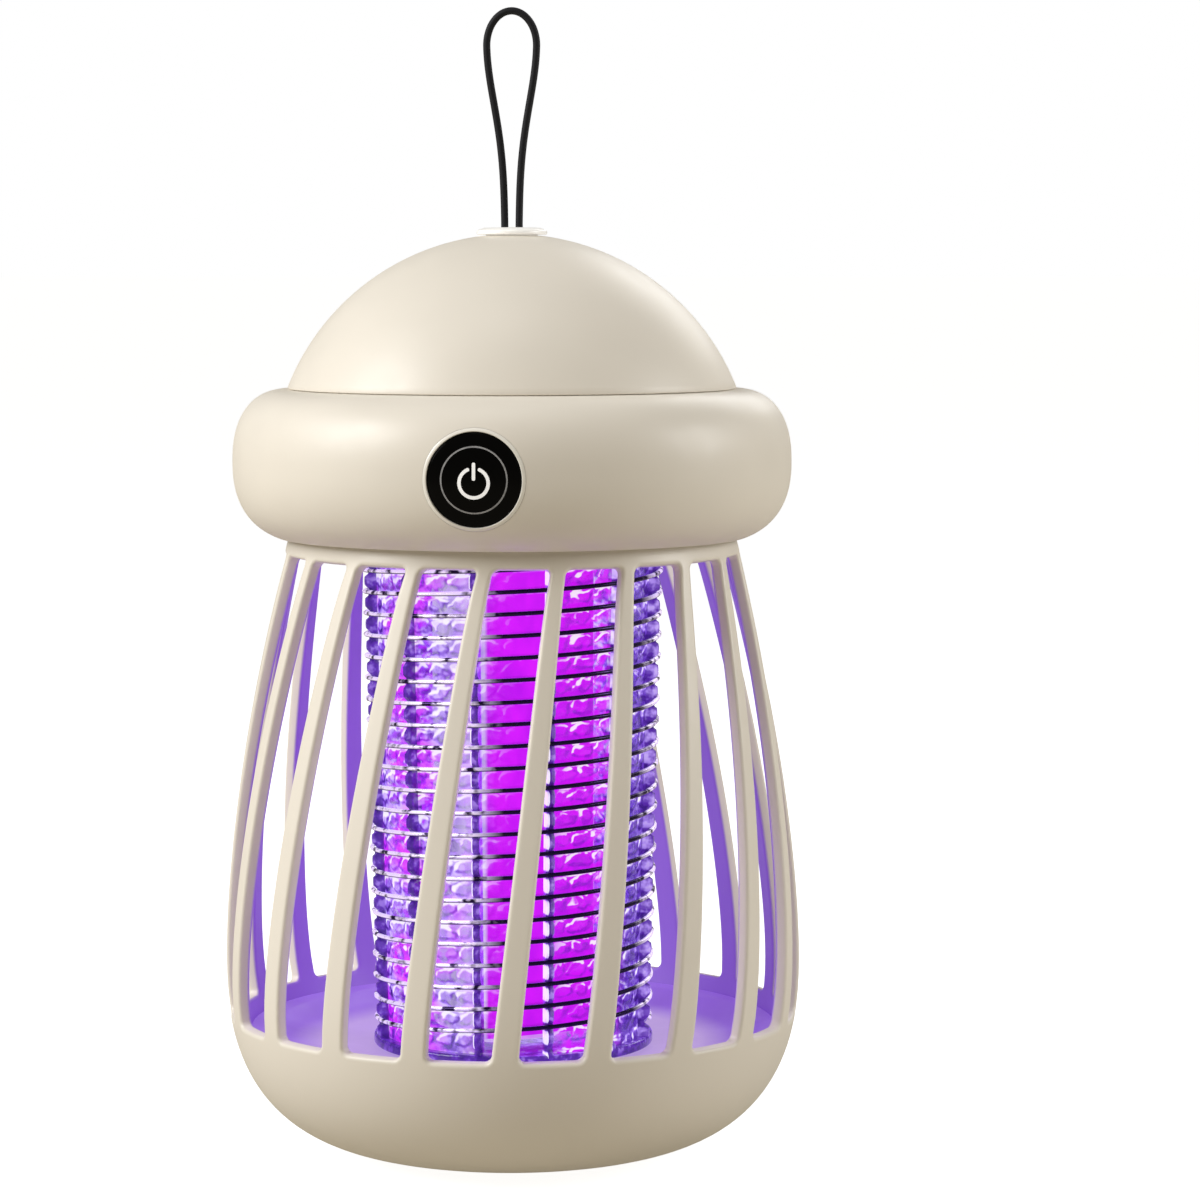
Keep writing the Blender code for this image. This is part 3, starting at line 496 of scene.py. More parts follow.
def printed(name, dark, bright):
    """Printing ink, a little uneven."""
    paint = Paint(name, bright, 0.4)
    paint.base(paint.mix(paint.patches(2500.0, 3.0, 0.4, 0.6), dark, bright))
    return paint


def pearl_cap_painted_glow():
    paint = moulded("pearl_cap_painted_glow", (0.97, 0.96, 0.93), 0.3, grain=0.05, coat=0.3)
    # Painted light: a faint warm glow makes the cap read whiter, as if it caught more light from above.
    paint.glow((1.0, 0.98, 0.94), 0.16)
    return paint


def braided():
    """Woven cord: two diagonal families of strands over the tube's own coordinates."""
    paint = Paint("cord_braid", (0.006, 0.006, 0.009), 0.6)
    uv = paint.node("ShaderNodeUVMap", uv_map="UVMap").outputs["UV"]
    split = paint.node("ShaderNodeSeparateXYZ")
    paint.link(uv, split.inputs[0])
    along = paint.times(split.outputs["X"], tau / (0.9 * MM))
    round_it = paint.times(split.outputs["Y"], tau * 4)
    one = paint.math("SINE", paint.math("ADD", along, round_it))
    other = paint.math("SINE", paint.minus(along, round_it))
    strands = paint.larger(one, other)
    height = paint.between(strands, -0.6, 1.0)
    fuzz = paint.noise(9000.0, 3.0)
    # Painted shade: the gaps between the strands are darker than the strand tops.
    paint.base(paint.mix(height, (0.002, 0.002, 0.003), (0.010, 0.010, 0.015)))
    paint.bump(paint.scaled(fuzz, 0.25, height), 0.8, 0.12 * MM)
    paint.put("Specular IOR Level", 0.25)
    paint.put("Sheen Weight", 0.06)
    return paint


def drawn_steel(name, colour, roughness):
    paint = Paint(name, colour, roughness, 1.0)
    paint.rough(paint.patches(1500.0, 4.0, 0.3, 0.7, roughness - 0.06, roughness + 0.12))
    stain = paint.patches(160.0, 3.0, 0.45, 0.75)
    paint.base(paint.mix(stain, colour, shade(colour, 0.75)))
    paint.bump(paint.noise(3800.0, 2.0), 0.08, 0.05 * MM)
    return paint


DEEP = (0.030, 0.006, 0.14)
PURPLE = (0.16, 0.045, 0.50)
LILAC = (0.46, 0.30, 0.86)
PALE = (0.84, 0.72, 0.98)
MAGENTA = (0.68, 0.008, 0.95)


def grid_cells(paint):
    """(share of the way up from one wire to the next, share of the way from rib to rib)."""
    x, y, z = paint.parts()
    angle = paint.math("ARCTAN2", x, paint.times(y, -1.0))
    spacing = WIRE_PITCH / 2
    rise = paint.math("DIVIDE", paint.minus(z, WIRE_BOTTOM_Z), spacing)
    turned = paint.math("DIVIDE", paint.minus(angle, pi / 2), pi)
    up = paint.math("FRACT", paint.minus(rise, turned))
    ribs = paint.math("DIVIDE", paint.minus(angle, RIB_PHASE), tau / RIB_COUNT)
    return up, paint.math("FRACT", ribs)


def toward(paint, angle):
    """1 on the side of the grid that faces an angle from -Y, -1 on the other side."""
    return paint.dot(paint.outward(), from_front(1.0, angle, 0.0))


def off_middle(paint, up):
    """0 halfway between two wires, 1 at a wire."""
    return paint.unsigned(paint.scaled(up, 2.0, -1.0))


def magenta_side(paint, low, high):
    """1 in front of the lamp's magenta faces, 0 in front of the pale ones."""
    return paint.between(paint.unsigned(toward(paint, LAMP_FACE_ANGLE)), low, high)


def beads(paint, up, over):
    """Flat lens-like cells between the ribs: (painted highlight arc on the upper left, painted shade arc on
    the lower right).
    """
    wobble = paint.scaled(paint.noise(260.0, 2.0), 1.5, -0.75)
    across = paint.math("FRACT", paint.scaled(over, BEADS, wobble))
    across = paint.minus(across, 0.5)
    rise = paint.scaled(paint.noise(300.0, 1.0), 0.5, -0.25)
    rise = paint.times(paint.math("ADD", rise, paint.minus(up, 0.5)), 1.35)
    squares = paint.scaled(across, across, paint.times(rise, rise))
    ring = paint.unsigned(paint.minus(paint.math("SQRT", squares), 0.38))
    ring = paint.between(ring, 0.17, 0.04)
    lean = paint.minus(paint.times(rise, 1.2), paint.times(across, 0.6))
    lit = paint.between(lean, -0.05, 0.22)
    return paint.times(ring, lit), paint.times(ring, paint.minus(1.0, lit))


def wall_colour(paint, up, over, hot_side):
    """(colour of the wall, how much there is to see of it): violet and magenta cells with painted white
    highlight arcs and bands and painted shade arcs.
    """
    arc, under = beads(paint, up, over)
    patches = paint.patches(420.0, 2.5, 0.38, 0.62)
    # Painted highlight: a pale band just below each wire.
    painted_highlight_band = paint.between(paint.unsigned(paint.minus(up, 0.86)), 0.14, 0.04)
    painted_highlight_band = paint.times(painted_highlight_band, paint.patches(500.0, 1.0, 0.4, 0.55))
    tone = paint.scaled(patches, 0.36, 0.22)
    tone = paint.scaled(paint.larger(arc, painted_highlight_band), 0.48, tone)
    # Painted shade: the dark lower right arcs of the cells darken the tone.
    tone = paint.minus(tone, paint.times(under, 0.28))
    white = (1.0, 0.97, 1.0)
    violet_stops = [(0.05, DEEP), (0.27, (0.20, 0.07, 0.58)), (0.48, LILAC), (0.70, PALE), (0.9, white)]
    violet = paint.ramp(tone, violet_stops)
    hot_low = [(0.05, (0.14, 0.01, 0.45)), (0.25, (0.48, 0.01, 0.80))]
    hot = paint.ramp(tone, hot_low + [(0.45, MAGENTA), (0.68, MAGENTA), (0.9, (1.0, 0.86, 1.0))])
    dark_low = [(0.2, (0.03, 0.006, 0.14)), (0.5, (0.13, 0.045, 0.46))]
    dark = paint.ramp(tone, dark_low + [(0.78, LILAC), (0.97, white)])
    # Painted light and shade by side: pinker magenta light on the left of the grid, deep violet shade on its
    # right.
    rightness = toward(paint, CAMERA_AZIMUTH + pi / 2)
    pink_light_patches = paint.patches(95.0, 1.0, 0.42, 0.56)
    painted_pink_light = paint.times(paint.between(rightness, -0.3, -0.75, 0.3, 0.95), pink_light_patches)
    colour = paint.mix(paint.larger(hot_side, painted_pink_light), violet, hot)
    colour = paint.mix(paint.between(rightness, 0.66, 0.84), colour, dark)
    return colour, paint.between(paint.larger(arc, patches), 0.1, 0.7, 0.5, 0.95)


def lens_wall():
    """The clear wall with the lamp's light painted in: glowing spots of painted light, clearest in front of
    the left half of each magenta face.
    """
    paint = Paint("violet_wall", PURPLE, 0.12)
    up, over = grid_cells(paint)
    hot_side = magenta_side(paint, 0.62, 0.9)
    colour, busy = wall_colour(paint, up, over, hot_side)
    past = toward(paint, LAMP_FACE_ANGLE + pi / 2)
    clear = paint.times(hot_side, paint.between(past, -0.05, -0.22))
    near_wire = off_middle(paint, up)
    shadow = paint.times(paint.between(near_wire, 0.62, 0.92), clear)
    colour = paint.mix(shadow, colour, (0.20, 0.0, 0.32))
    paint.base(paint.mix(0.75, colour, DEEP))
    # Painted light: the wall glows in its own painted colours, as if lit from within by the lamp.
    paint.glow(colour, 0.85)
    paint.bump(paint.noise(700.0, 2.0), 0.3, 0.2 * MM)
    opaque = paint.times(busy, paint.minus(1.0, clear))
    opaque = paint.larger(opaque, paint.times(shadow, 0.6))
    grazing = paint.between(paint.node("ShaderNodeLayerWeight").outputs["Facing"], 0.3, 0.72, 0.0, 0.96)
    near = paint.larger(opaque, grazing)
    inside = paint.between(facing_axis(paint), -0.2, 0.2)
    alpha = paint.node("ShaderNodeMix", data_type="FLOAT")
    paint.link(inside, alpha.inputs["Factor"])
    paint.link(near, alpha.inputs["A"])
    alpha.inputs["B"].default_value = 0.94
    front = paint.front_side()
    paint.link(paint.times(alpha.outputs["Result"], front), paint.shader.inputs["Alpha"])
    return paint


def clear_plastic():
    """Clear moulding with the lamp's light painted in: a deep violet glow, with a painted highlight, a
    bright square, in each cell and painted shade at the wires.
    """
    paint = Paint("clear_violet", PURPLE, 0.12)
    near_wire = off_middle(paint, grid_cells(paint)[0])
    sparkle = paint.patches(520.0, 2.0, 0.42, 0.62)
    spin = paint.vector("CROSS_PRODUCT", paint.outward(), (0.0, 0.0, 1.0)).outputs[0]
    normal = paint.normal()
    edge = paint.between(paint.dot(spin, normal), 0.2, 0.6)
    rightness = toward(paint, CAMERA_AZIMUTH + pi / 2)
    edge = paint.times(edge, paint.between(paint.unsigned(rightness), 0.85, 0.6, 0.25, 1.0))
    # Painted highlight: a bright square on one side face of each rib between two wires, weaker near the
    # grid's silhouettes.
    square = paint.times(edge, paint.between(near_wire, 0.75, 0.55))
    tone = paint.scaled(square, 0.75, paint.times(sparkle, 0.3))
    # Painted shade: darker at the wires, brighter halfway between them.
    tone = paint.scaled(paint.between(near_wire, 0.8, 0.2), 0.2, tone)
    stops = [(0.1, DEEP), (0.35, (0.10, 0.025, 0.36)), (0.6, LILAC), (0.85, PALE), (1.0, (1.0, 0.95, 1.0))]
    colour = paint.ramp(tone, stops)
    paint.base(paint.mix(0.7, colour, DEEP))
    paint.glow(colour, 0.8)
    paint.bump(paint.noise(900.0, 2.0), 0.35, 0.2 * MM)
    paint.put("Alpha", 0.9)
    return paint


def grid_wire():
    """Steel wire: painted near-black against the magenta faces, where it is backlit, and elsewhere painted
    with pale violet light from above.
    """
    paint = drawn_steel("wire_steel", (0.14, 0.11, 0.20), 0.2)
    normal = paint.normal()
    top = paint.between(paint.parts(normal)[2], -0.75, -0.2)
    pale_side = paint.minus(1.0, magenta_side(paint, 0.72, 0.86))
    painted_light_flecks = paint.patches(420.0, 2.0, 0.36, 0.52)
    # Painted light: away from the magenta faces, all but the underside is pale violet and glows, in patches.
    lit = paint.times(paint.times(top, pale_side), painted_light_flecks)
    paint.base(paint.mix(lit, (0.03, 0.02, 0.06), (0.66, 0.60, 0.76)))
    paint.glow(PALE, paint.times(lit, 0.75))
    return paint


def lamp_diffuser():
    """The lit column: two opposite faces glow magenta, the other two a pale lavender."""
    paint = Paint("lamp_glow", (0.04, 0.02, 0.06), 0.4)
    normal = paint.normal()
    across = paint.unsigned(paint.dot(normal, from_front(1.0, LAMP_FACE_ANGLE, 0.0)))
    magenta = paint.between(across, 0.55, 0.8)
    mottle = paint.between(paint.noise(240.0, 2.5, (1.0, 1.0, 0.5)), 0.3, 0.7)
    pale = paint.mix(mottle, (0.55, 0.42, 0.84), (0.92, 0.86, 0.98))
    hot = paint.mix(mottle, (0.52, 0.006, 0.84), (0.72, 0.010, 0.97))
    paint.glow(paint.mix(magenta, pale, hot), 0.95)
    paint.put("Specular IOR Level", 0.2)
    paint.bump(paint.noise(1800.0, 2.0), 0.1, 0.05 * MM)
    return paint


def circuit_board(name, mask, trace):
    """Solder mask with faint tracks under it."""
    paint = Paint(name, mask, 0.35)
    tracks = paint.node("ShaderNodeTexBrick")
    tracks.inputs["Scale"].default_value = 260.0
    tracks.inputs["Mortar Size"].default_value = 0.06
    paint.link(paint.place, tracks.inputs["Vector"])
    lines = tracks.outputs["Fac"]
    paint.base(paint.mix(lines, mask, trace))
    paint.bump(lines, 0.3, 0.05 * MM)
    return paint


def wound_copper():
    paint = Paint("wound_copper", (0.60, 0.26, 0.11), 0.35, 0.8)
    wave = paint.node("ShaderNodeTexWave", wave_type="BANDS", bands_direction="Z")
    wave.inputs["Scale"].default_value = 420.0
    wave.inputs["Distortion"].default_value = 0.6
    paint.link(paint.place, wave.inputs["Vector"])
    paint.base(paint.mix(wave.outputs["Fac"], (0.35, 0.13, 0.05), (0.72, 0.34, 0.16)))
    paint.bump(wave.outputs["Fac"], 0.5, 0.1 * MM)
    return paint


# --- mesh building


def from_front(radius, angle, z):
    """A point at an angle measured from -Y towards +X."""
    return Vector((radius * sin(angle), -radius * cos(angle), z))


def mesh_object(name, bm):
    """The bmesh as a new object in the scene."""
    mesh = bpy.data.meshes.new(name)
    bm.to_mesh(mesh)
    bm.free()
    obj = bpy.data.objects.new(name, mesh)
    bpy.context.scene.collection.objects.link(obj)
    return obj


def finish_mesh(name, bm, paint, body, nodes=(), sharp=40):
    """The bmesh as a smooth piece that rides on a body and stands for CAD nodes."""
    bmesh.ops.remove_doubles(bm, verts=bm.verts, dist=1e-6)
    bmesh.ops.recalc_face_normals(bm, faces=bm.faces)
    obj = mesh_object(name, bm)
    obj.data.shade_smooth()
    obj.data.set_sharp_from_angle(angle=radians(sharp))
    obj.data.materials.append(PAINTS[paint].material)
    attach(obj, body)
    if nodes:
        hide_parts(*nodes)
    return obj


def skin(bm, rings, closed=False, capped=False):
    """Faces between neighbouring rings; closed joins the last to the first, capped fills both ends."""
    pairs = list(zip(rings, rings[1:]))
    if closed:
        pairs.append((rings[-1], rings[0]))
    for a, b in pairs:
        for i in range(len(a)):
            k = (i + 1) % len(a)
            corners = list(dict.fromkeys((a[i], a[k], b[k], b[i])))
            if len(corners) > 2:
                bm.faces.new(corners)
    if capped:
        bm.faces.new(rings[0])
        bm.faces.new(rings[-1])


def ring_of(bm, points):
    return [bm.verts.new(point) for point in points]


def even_angles(steps):
    return [tau * i / steps for i in range(steps)]


def add_rows(bm, rows, angles, closed=False):
    """Rows of (radius, height) over fixed columns, as a surface round Z."""
    rings = []
    for r, z in rows:
        if r < ON_AXIS:
            rings.append(ring_of(bm, [(0.0, 0.0, z)]) * len(angles))
        else:
            rings.append(ring_of(bm, (from_front(r, a, z) for a in angles)))
    skin(bm, rings, closed)


def revolved(outline, steps=AROUND, closed=True, matrix=None):
    """A bmesh: an outline of (radius, height) turned round Z."""
    bm = bmesh.new()
    add_rows(bm, outline, even_angles(steps), closed)
    if matrix:
        bmesh.ops.transform(bm, matrix=matrix, verts=bm.verts)
    return bm


def rounded(points, radii, steps=4):
    """An outline with its corners rounded; radii holds one radius for each point."""
    made = []
    count = len(points)
    for i, (point, radius) in enumerate(zip(points, radii)):
        corner = Vector(point)
        if radius <= 0.0:
            made.append(tuple(corner))
            continue
        before = (Vector(points[i - 1]) - corner).normalized()
        after = (Vector(points[(i + 1) % count]) - corner).normalized()
        half = before.angle(after) / 2
        reach = radius / tan(half)
        start, end = corner + before * reach, corner + after * reach
        for k in range(steps + 1):
            t = k / steps
            made.append(tuple(start * (1 - t) ** 2 + corner * 2 * t * (1 - t) + end * t * t))
    return made


def washer(inner, outer, low, high, *radii, steps=4):
    """A ring's section; the radii round its corners from the low outer one up and inwards."""
    corners = [(outer, low), (outer, high), (inner, high), (inner, low)]
    return rounded(corners, [r * MM for r in radii], steps)


def super_drop(share, power):
    """How far out a superellipse still is, at this share of the way along its other axis."""
    return (1 - min(1.0, share) ** power) ** (1 / power)


def super_arc(r0, a, z0, b, power, start, end, steps):
    """Points of a quarter of a superellipse, between two of its angles."""
    points = []
    for i in range(steps + 1):
        t = start + (end - start) * i / steps
        across = max(0.0, cos(t)) ** (2 / power)
        along = max(0.0, sin(t)) ** (2 / power)
        points.append((r0 + a * across, z0 + b * along))
    return points


# --- cage and bowl


def cage_radius(z):
    if z >= WIDEST_Z:
        share = (z - WIDEST_Z) / (NECK_Z - WIDEST_Z)
        return WIDEST_R - (WIDEST_R - NECK_R) * share**BELLY_POWER
    drop = super_drop((WIDEST_Z - z) / (WIDEST_Z - BOTTOM_Z), BOWL_POWER)
    return FLAT_R + (WIDEST_R - FLAT_R) * drop


def cage_normal(z):
    """The outside's outward normal in the (radius, height) plane."""
    step = 0.05 * MM
    slope = (cage_radius(z + step) - cage_radius(z - step)) / (2 * step)
    length = hypot(1.0, slope)
    return 1.0 / length, -slope / length


def slot_share(z):
    return min(1.0, max(0.0, (SLOT_TOP - z) / (SLOT_TOP - SLOT_BOTTOM)))


def slot_clamp(z):
    return min(SLOT_TOP + PATCH_ABOVE, max(SLOT_BOTTOM - PATCH_BELOW, z))


def bar_middle(bar, z):
    return BAR_PHASE + tau * bar / BAR_COUNT + BAR_TWIST * slot_share(z) ** TWIST_POWER


def slot_half(z):
    """Half a slot's width along the surface."""
    share = slot_share(z)
    bar = BAR_TOP_WIDTH + (BAR_BOTTOM_WIDTH - BAR_TOP_WIDTH) * share**0.6
    return (tau / BAR_COUNT * cage_radius(slot_clamp(z)) - bar) / 2


def cage_point(angle, z, depth):
    out, up = cage_normal(z)
    return from_front(cage_radius(z) - depth * out, angle, z - depth * up)


SIDE_ROWS = 30
CORNER_STEPS = 6
SLOT_CORNERS = ("low_right", "low_left", "high_left", "high_right")
SLOT_RUNS = (
    ("right", SIDE_ROWS),
    ("low_right", CORNER_STEPS),
    ("low", CORNER_STEPS),
    ("low_left", CORNER_STEPS),
    ("left", SIDE_ROWS),
    ("high_left", CORNER_STEPS),
    ("high", CORNER_STEPS),
    ("high_right", CORNER_STEPS),
)


def slot_stations():
    """Places round a slot: (side, share) runs down the right, along the bottom, up the left."""
    return [(side, i / steps) for side, steps in SLOT_RUNS for i in range(steps)]


def slot_edge(station, grow):
    """(offset from the slot's middle, height) on the slot's outline, grown by that much."""
    side, t = station
    top, bottom = SLOT_TOP - SLOT_CORNER, SLOT_BOTTOM + SLOT_CORNER
    if side in ("right", "left"):
        z = top + (bottom - top) * (t if side == "right" else 1 - t)
        across = slot_half(z) + grow
        return (across if side == "right" else -across), z
    if side in ("low", "high"):
        z = SLOT_BOTTOM - grow if side == "low" else SLOT_TOP + grow
        inner = slot_half(z) - SLOT_CORNER
        return (inner * (1 - 2 * t) if side == "low" else inner * (2 * t - 1)), z
    turn = SLOT_CORNERS.index(side)
    radius, angle = SLOT_CORNER + grow, -(turn + t) * pi / 2
    z = (bottom if turn < 2 else top) + radius * sin(angle)
    sign = 1 if turn in (0, 3) else -1
    return sign * (slot_half(z) - SLOT_CORNER) + radius * cos(angle), z


def patch_edge(station):
    """The same places on the edge of the patch round the slot: (how far across, height)."""
    side, t = station
    top, bottom = SLOT_TOP + PATCH_ABOVE, SLOT_BOTTOM - PATCH_BELOW
    if side in ("right", "left"):
        return (1.0 if side == "right" else -1.0), slot_edge(station, 0.0)[1]
    if side in ("low", "high"):
        z = bottom if side == "low" else top
        share = 1 - SLOT_CORNER / slot_half(z)
        return (share * (1 - 2 * t) if side == "low" else share * (2 * t - 1)), z
    turn = SLOT_CORNERS.index(side)
    t = t if turn % 2 == 0 else 1 - t
    sign = 1 if turn in (0, 3) else -1
    near, far = (SLOT_BOTTOM + SLOT_CORNER, bottom) if turn < 2 else (SLOT_TOP - SLOT_CORNER, top)
    if t <= 0.5:
        return float(sign), near + (far - near) * t * 2
    return sign * (1 - SLOT_CORNER / slot_half(far) * (t * 2 - 1)), far


def slot_middle(slot, z):
    return bar_middle(slot + 0.5, z)


def patch_point(slot, station, depth):
    """A point on the patch's edge: straight above or below the slot, or spread out to its sides."""
    across, z = patch_edge(station)
    half, clamped = slot_half(z), cage_radius(slot_clamp(z))
    share = 1 - SLOT_CORNER / half
    angle = across * half / clamped
    if abs(across) > share + 1e-9:
        inner, outer = share * half / clamped, pi / BAR_COUNT
        t = (abs(across) - share) / (1 - share)
        angle = copysign(inner + (outer - inner) * t, across)
    return cage_point(slot_middle(slot, z) + angle, z, depth)


def slot_loops():
    """(grow, depth) of the loops through a slot, from the outside's rim to the inside's."""
    rim = EDGE_FILLET + 0.3 * MM
    turns = [pi / 2 * i / FILLET_STEPS for i in range(FILLET_STEPS + 1)]
    outer = [(EDGE_FILLET * (1 - sin(a)), EDGE_FILLET * (1 - cos(a))) for a in turns]
    inner = [(grow, WALL - depth) for grow, depth in reversed(outer)]
    return [(rim, 0.0)] + outer + inner + [(rim, WALL)]


def add_slot(bm, slot, stations):
    rings = [ring_of(bm, (patch_point(slot, s, 0.0) for s in stations))]
    for grow, depth in slot_loops():
        ring = []
        for station in stations:
            across, z = slot_edge(station, grow)
            angle = slot_middle(slot, z) + across / cage_radius(slot_clamp(z))
            ring.append(cage_point(angle, z, depth))
        rings.append(ring_of(bm, ring))
    rings.append(ring_of(bm, (patch_point(slot, s, WALL) for s in stations)))
    skin(bm, rings)


def cage_columns(end):
    """The angles of the columns above or below the slots, from the patches' own edge."""
    stations = [s for s in slot_stations() if s[0].startswith(end)]
    angles = set()
    z = SLOT_TOP + PATCH_ABOVE if end == "high" else SLOT_BOTTOM - PATCH_BELOW
    for slot in range(BAR_COUNT):
        for station in stations:
            if abs(patch_edge(station)[1] - z) < 1e-7:
                point = patch_point(slot, station, 0.0)
                angles.add(round(atan2(point.x, -point.y), 7))
    return sorted(angles)


def neck_rows():
    """From the slots' patches over the neck and the spigot and back down inside."""
    low, lip = SLOT_TOP + PATCH_ABOVE, NECK_Z - 0.7 * MM
    out, up = cage_normal(low)
    rim = [(NECK_R, NECK_Z - 0.4 * MM), (NECK_R, NECK_Z), (SPIGOT_R, NECK_Z)]
    rim += [(SPIGOT_R, SPIGOT_TOP), (SPIGOT_IN, SPIGOT_TOP), (SPIGOT_IN, NECK_Z)]
    rows = [(cage_radius(low), low), (cage_radius(lip), lip)]
    rows += rounded(rim, [r * MM for r in (0, 0.35, 0.2, 0.4, 0.4, 0)])
    return rows + [(cage_radius(low) - WALL * out, low - WALL * up)]


def bowl_rows():
    """From the slots' patches round the bowl to the middle of its underside, with the foot's groove."""
    start, drop = SLOT_BOTTOM - PATCH_BELOW, WIDEST_Z - BOTTOM_Z
    first = asin(((WIDEST_Z - start) / drop) ** (BOWL_POWER / 2))
    last = pi / 2 * 0.985
    rows = super_arc(FLAT_R, WIDEST_R - FLAT_R, WIDEST_Z, -drop, BOWL_POWER, first, last, 26)
    groove_in, groove_out = FOOT_HOLE - 0.3 * MM, FOOT_HIGH.x + 0.3 * MM
    groove = washer(groove_in, groove_out, BOTTOM_Z, GROOVE_Z, 0.2, 0.2, 0.2, 0.2, steps=3)
    return rows + [(FLAT_R, BOTTOM_Z)] + groove + [(0.0, BOTTOM_Z)]


def bowl_inside_rows():
    start = SLOT_BOTTOM - PATCH_BELOW
    out, up = cage_normal(start)
    first = (cage_radius(start) - WALL * out, start - WALL * up)
    ledge_out = first[0] - 0.5 * MM
    return [first, (ledge_out, LEDGE_Z), (LEDGE_R, LEDGE_Z), (LEDGE_R - 1 * MM, LEDGE_Z - 3 * MM)]


def make_cage():
    bm = bmesh.new()
    stations = slot_stations()
    for slot in range(BAR_COUNT):
        add_slot(bm, slot, stations)
    add_rows(bm, neck_rows(), cage_columns("high"))
    low_columns = cage_columns("low")
    add_rows(bm, bowl_rows(), low_columns)
    add_rows(bm, bowl_inside_rows(), low_columns)
    finish_mesh("cage", bm, "cage", "cage", ["cage_bowl"], 50)
    for i in range(LUG_COUNT):
        make_lug(i)


def make_lug(index):
    """A bayonet lug on the spigot, thinner towards its two ends."""
    middle = tau * index / LUG_COUNT + pi / 2
    outline = washer(SPIGOT_R - 0.5 * MM, LUG_R, LUG_BOTTOM, LUG_TOP, 0.3, 0.3, 0, 0)
    bm = bmesh.new()
    rings = []
    for i in range(LUG_STEPS + 1):
        t = -1 + 2 * i / LUG_STEPS
        angle = middle + LUG_HALF * t
        taper = 1.0 - 0.6 * max(0.0, abs(t) - 0.85) / 0.15
        section = [(SPIGOT_R + (r - SPIGOT_R) * taper, z) for r, z in outline]
        rings.append(ring_of(bm, (from_front(r, angle, z) for r, z in section)))
    skin(bm, rings, capped=True)
    finish_mesh(f"bayonet_lug_{index + 1}", bm, "deck", "cage")


def tray_outline():
    """The dish from the middle of its top out to its rim, and back to the middle of its underside."""
    low, high, rim = TRAY_LOW.z, TRAY_HIGH.z, TRAY_HIGH.x
    floor, ledge = low + TRAY_THICK, LEDGE_Z + 0.3 * MM
    top = [(0.0, floor), (TRAY_FLAT_R, floor), (44 * MM, low + 2.5 * MM), (47.4 * MM, high - 0.6 * MM)]
    under = [(48 * MM, ledge), (45 * MM, floor), (TRAY_FLAT_R, low), (0.0, low)]
    corners = top + [(rim, high), (rim, ledge)] + under
    return rounded(corners, [r * MM for r in (0, 60, 14, 4, 0.3, 0.2, 0.4, 6, 40, 0)])


def make_bowl_fittings():
    bm = revolved(tray_outline(), closed=False)
    finish_mesh("bug_floor", bm, "tray", "cage", ["bug_tray"])
    pad = washer(FOOT_HOLE, FOOT_HIGH.x, FOOT_LOW.z, FOOT_HIGH.z, 0.3, 0.3, 0.3, 0.3)
    finish_mesh("foot_pad", revolved(pad, 96), "rubber", "cage", ["foot_ring"])
    seal = washer(SPIGOT_R + 0.3 * MM, SEAL_HIGH.x, SEAL_LOW.z, SEAL_HIGH.z, 0.25, 0.25, 0.25, 0.25)
    finish_mesh("seal_ring", revolved(seal), "seal", "seal", ["neck_seal"])


# --- collar and dome


def collar_radius(z):
    """The collar's outside radius at a height."""
    if z >= COLLAR_Z:
        rest = super_drop((z - COLLAR_Z) / COLLAR_TOP_H, COLLAR_TOP_POWER)
        return COLLAR_TOP_R + (COLLAR_R - COLLAR_TOP_R) * rest
    rest = super_drop((COLLAR_Z - z) / COLLAR_LOW_H, COLLAR_LOW_POWER)
    return COLLAR_LOW_R + (COLLAR_R - COLLAR_LOW_R) * rest


def collar_outline():
    """From the dome's opening over the top, round the outside, under the lip and back up inside."""
    wide, narrow = COLLAR_R - COLLAR_TOP_R, COLLAR_R - COLLAR_LOW_R
    lip = acos(((COLLAR_LIP_R - COLLAR_LOW_R) / narrow) ** (COLLAR_LOW_POWER / 2))
    crown, keel = (COLLAR_Z, COLLAR_TOP_H, COLLAR_TOP_POWER), (COLLAR_Z, -COLLAR_LOW_H, COLLAR_LOW_POWER)
    upper = super_arc(COLLAR_TOP_R, wide, *crown, pi / 2, 0.0, COLLAR_STEPS)
    lower = super_arc(COLLAR_LOW_R, narrow, *keel, 0.0, lip, COLLAR_STEPS)
    top = COLLAR_Z + COLLAR_TOP_H
    outline = [(COLLAR_OPENING, top)] + upper + lower[1:]
    outline += [(COLLAR_LIP_R, COLLAR_LOW.z + 6 * MM)]
    outline += [(r - COLLAR_WALL, z - 0.4 * MM) for r, z in reversed(lower[:24:4])]
    outline += [(r - COLLAR_WALL, z - 1.2 * MM) for r, z in reversed(upper[20::4])]
    return outline + [(COLLAR_OPENING, top - 2 * MM)]


def control_place(angle):
    """Turns +Z to look out of the collar at the controls' height, at an angle from -Y."""
    out = from_front(1.0, angle, 0.0).to_track_quat("Z", "Y").to_matrix().to_4x4()
    return Matrix.Translation((0.0, 0.0, CONTROL_Z)) @ out


def plug(radius, low, high, matrix, steps):
    """A cutter: a solid rod along Z, moved to its place."""
    outline = [(0.0, low), (radius, low), (radius, high), (0.0, high)]
    bm = revolved(outline, steps, matrix=matrix)
    bmesh.ops.recalc_face_normals(bm, faces=bm.faces)
    return mesh_object("cutter", bm)


def carve(obj, cutters):
    """Cuts holes, bakes the result into the mesh and removes the cutters."""
    for cutter in cutters:
        modifier = obj.modifiers.new("hole", "BOOLEAN")
        modifier.operation = "DIFFERENCE"
        modifier.object = cutter
    graph = bpy.context.evaluated_depsgraph_get()
    baked = bpy.data.meshes.new_from_object(obj.evaluated_get(graph))
    obj.modifiers.clear()
    obj.data = baked
    for cutter in cutters:
        bpy.data.objects.remove(cutter)


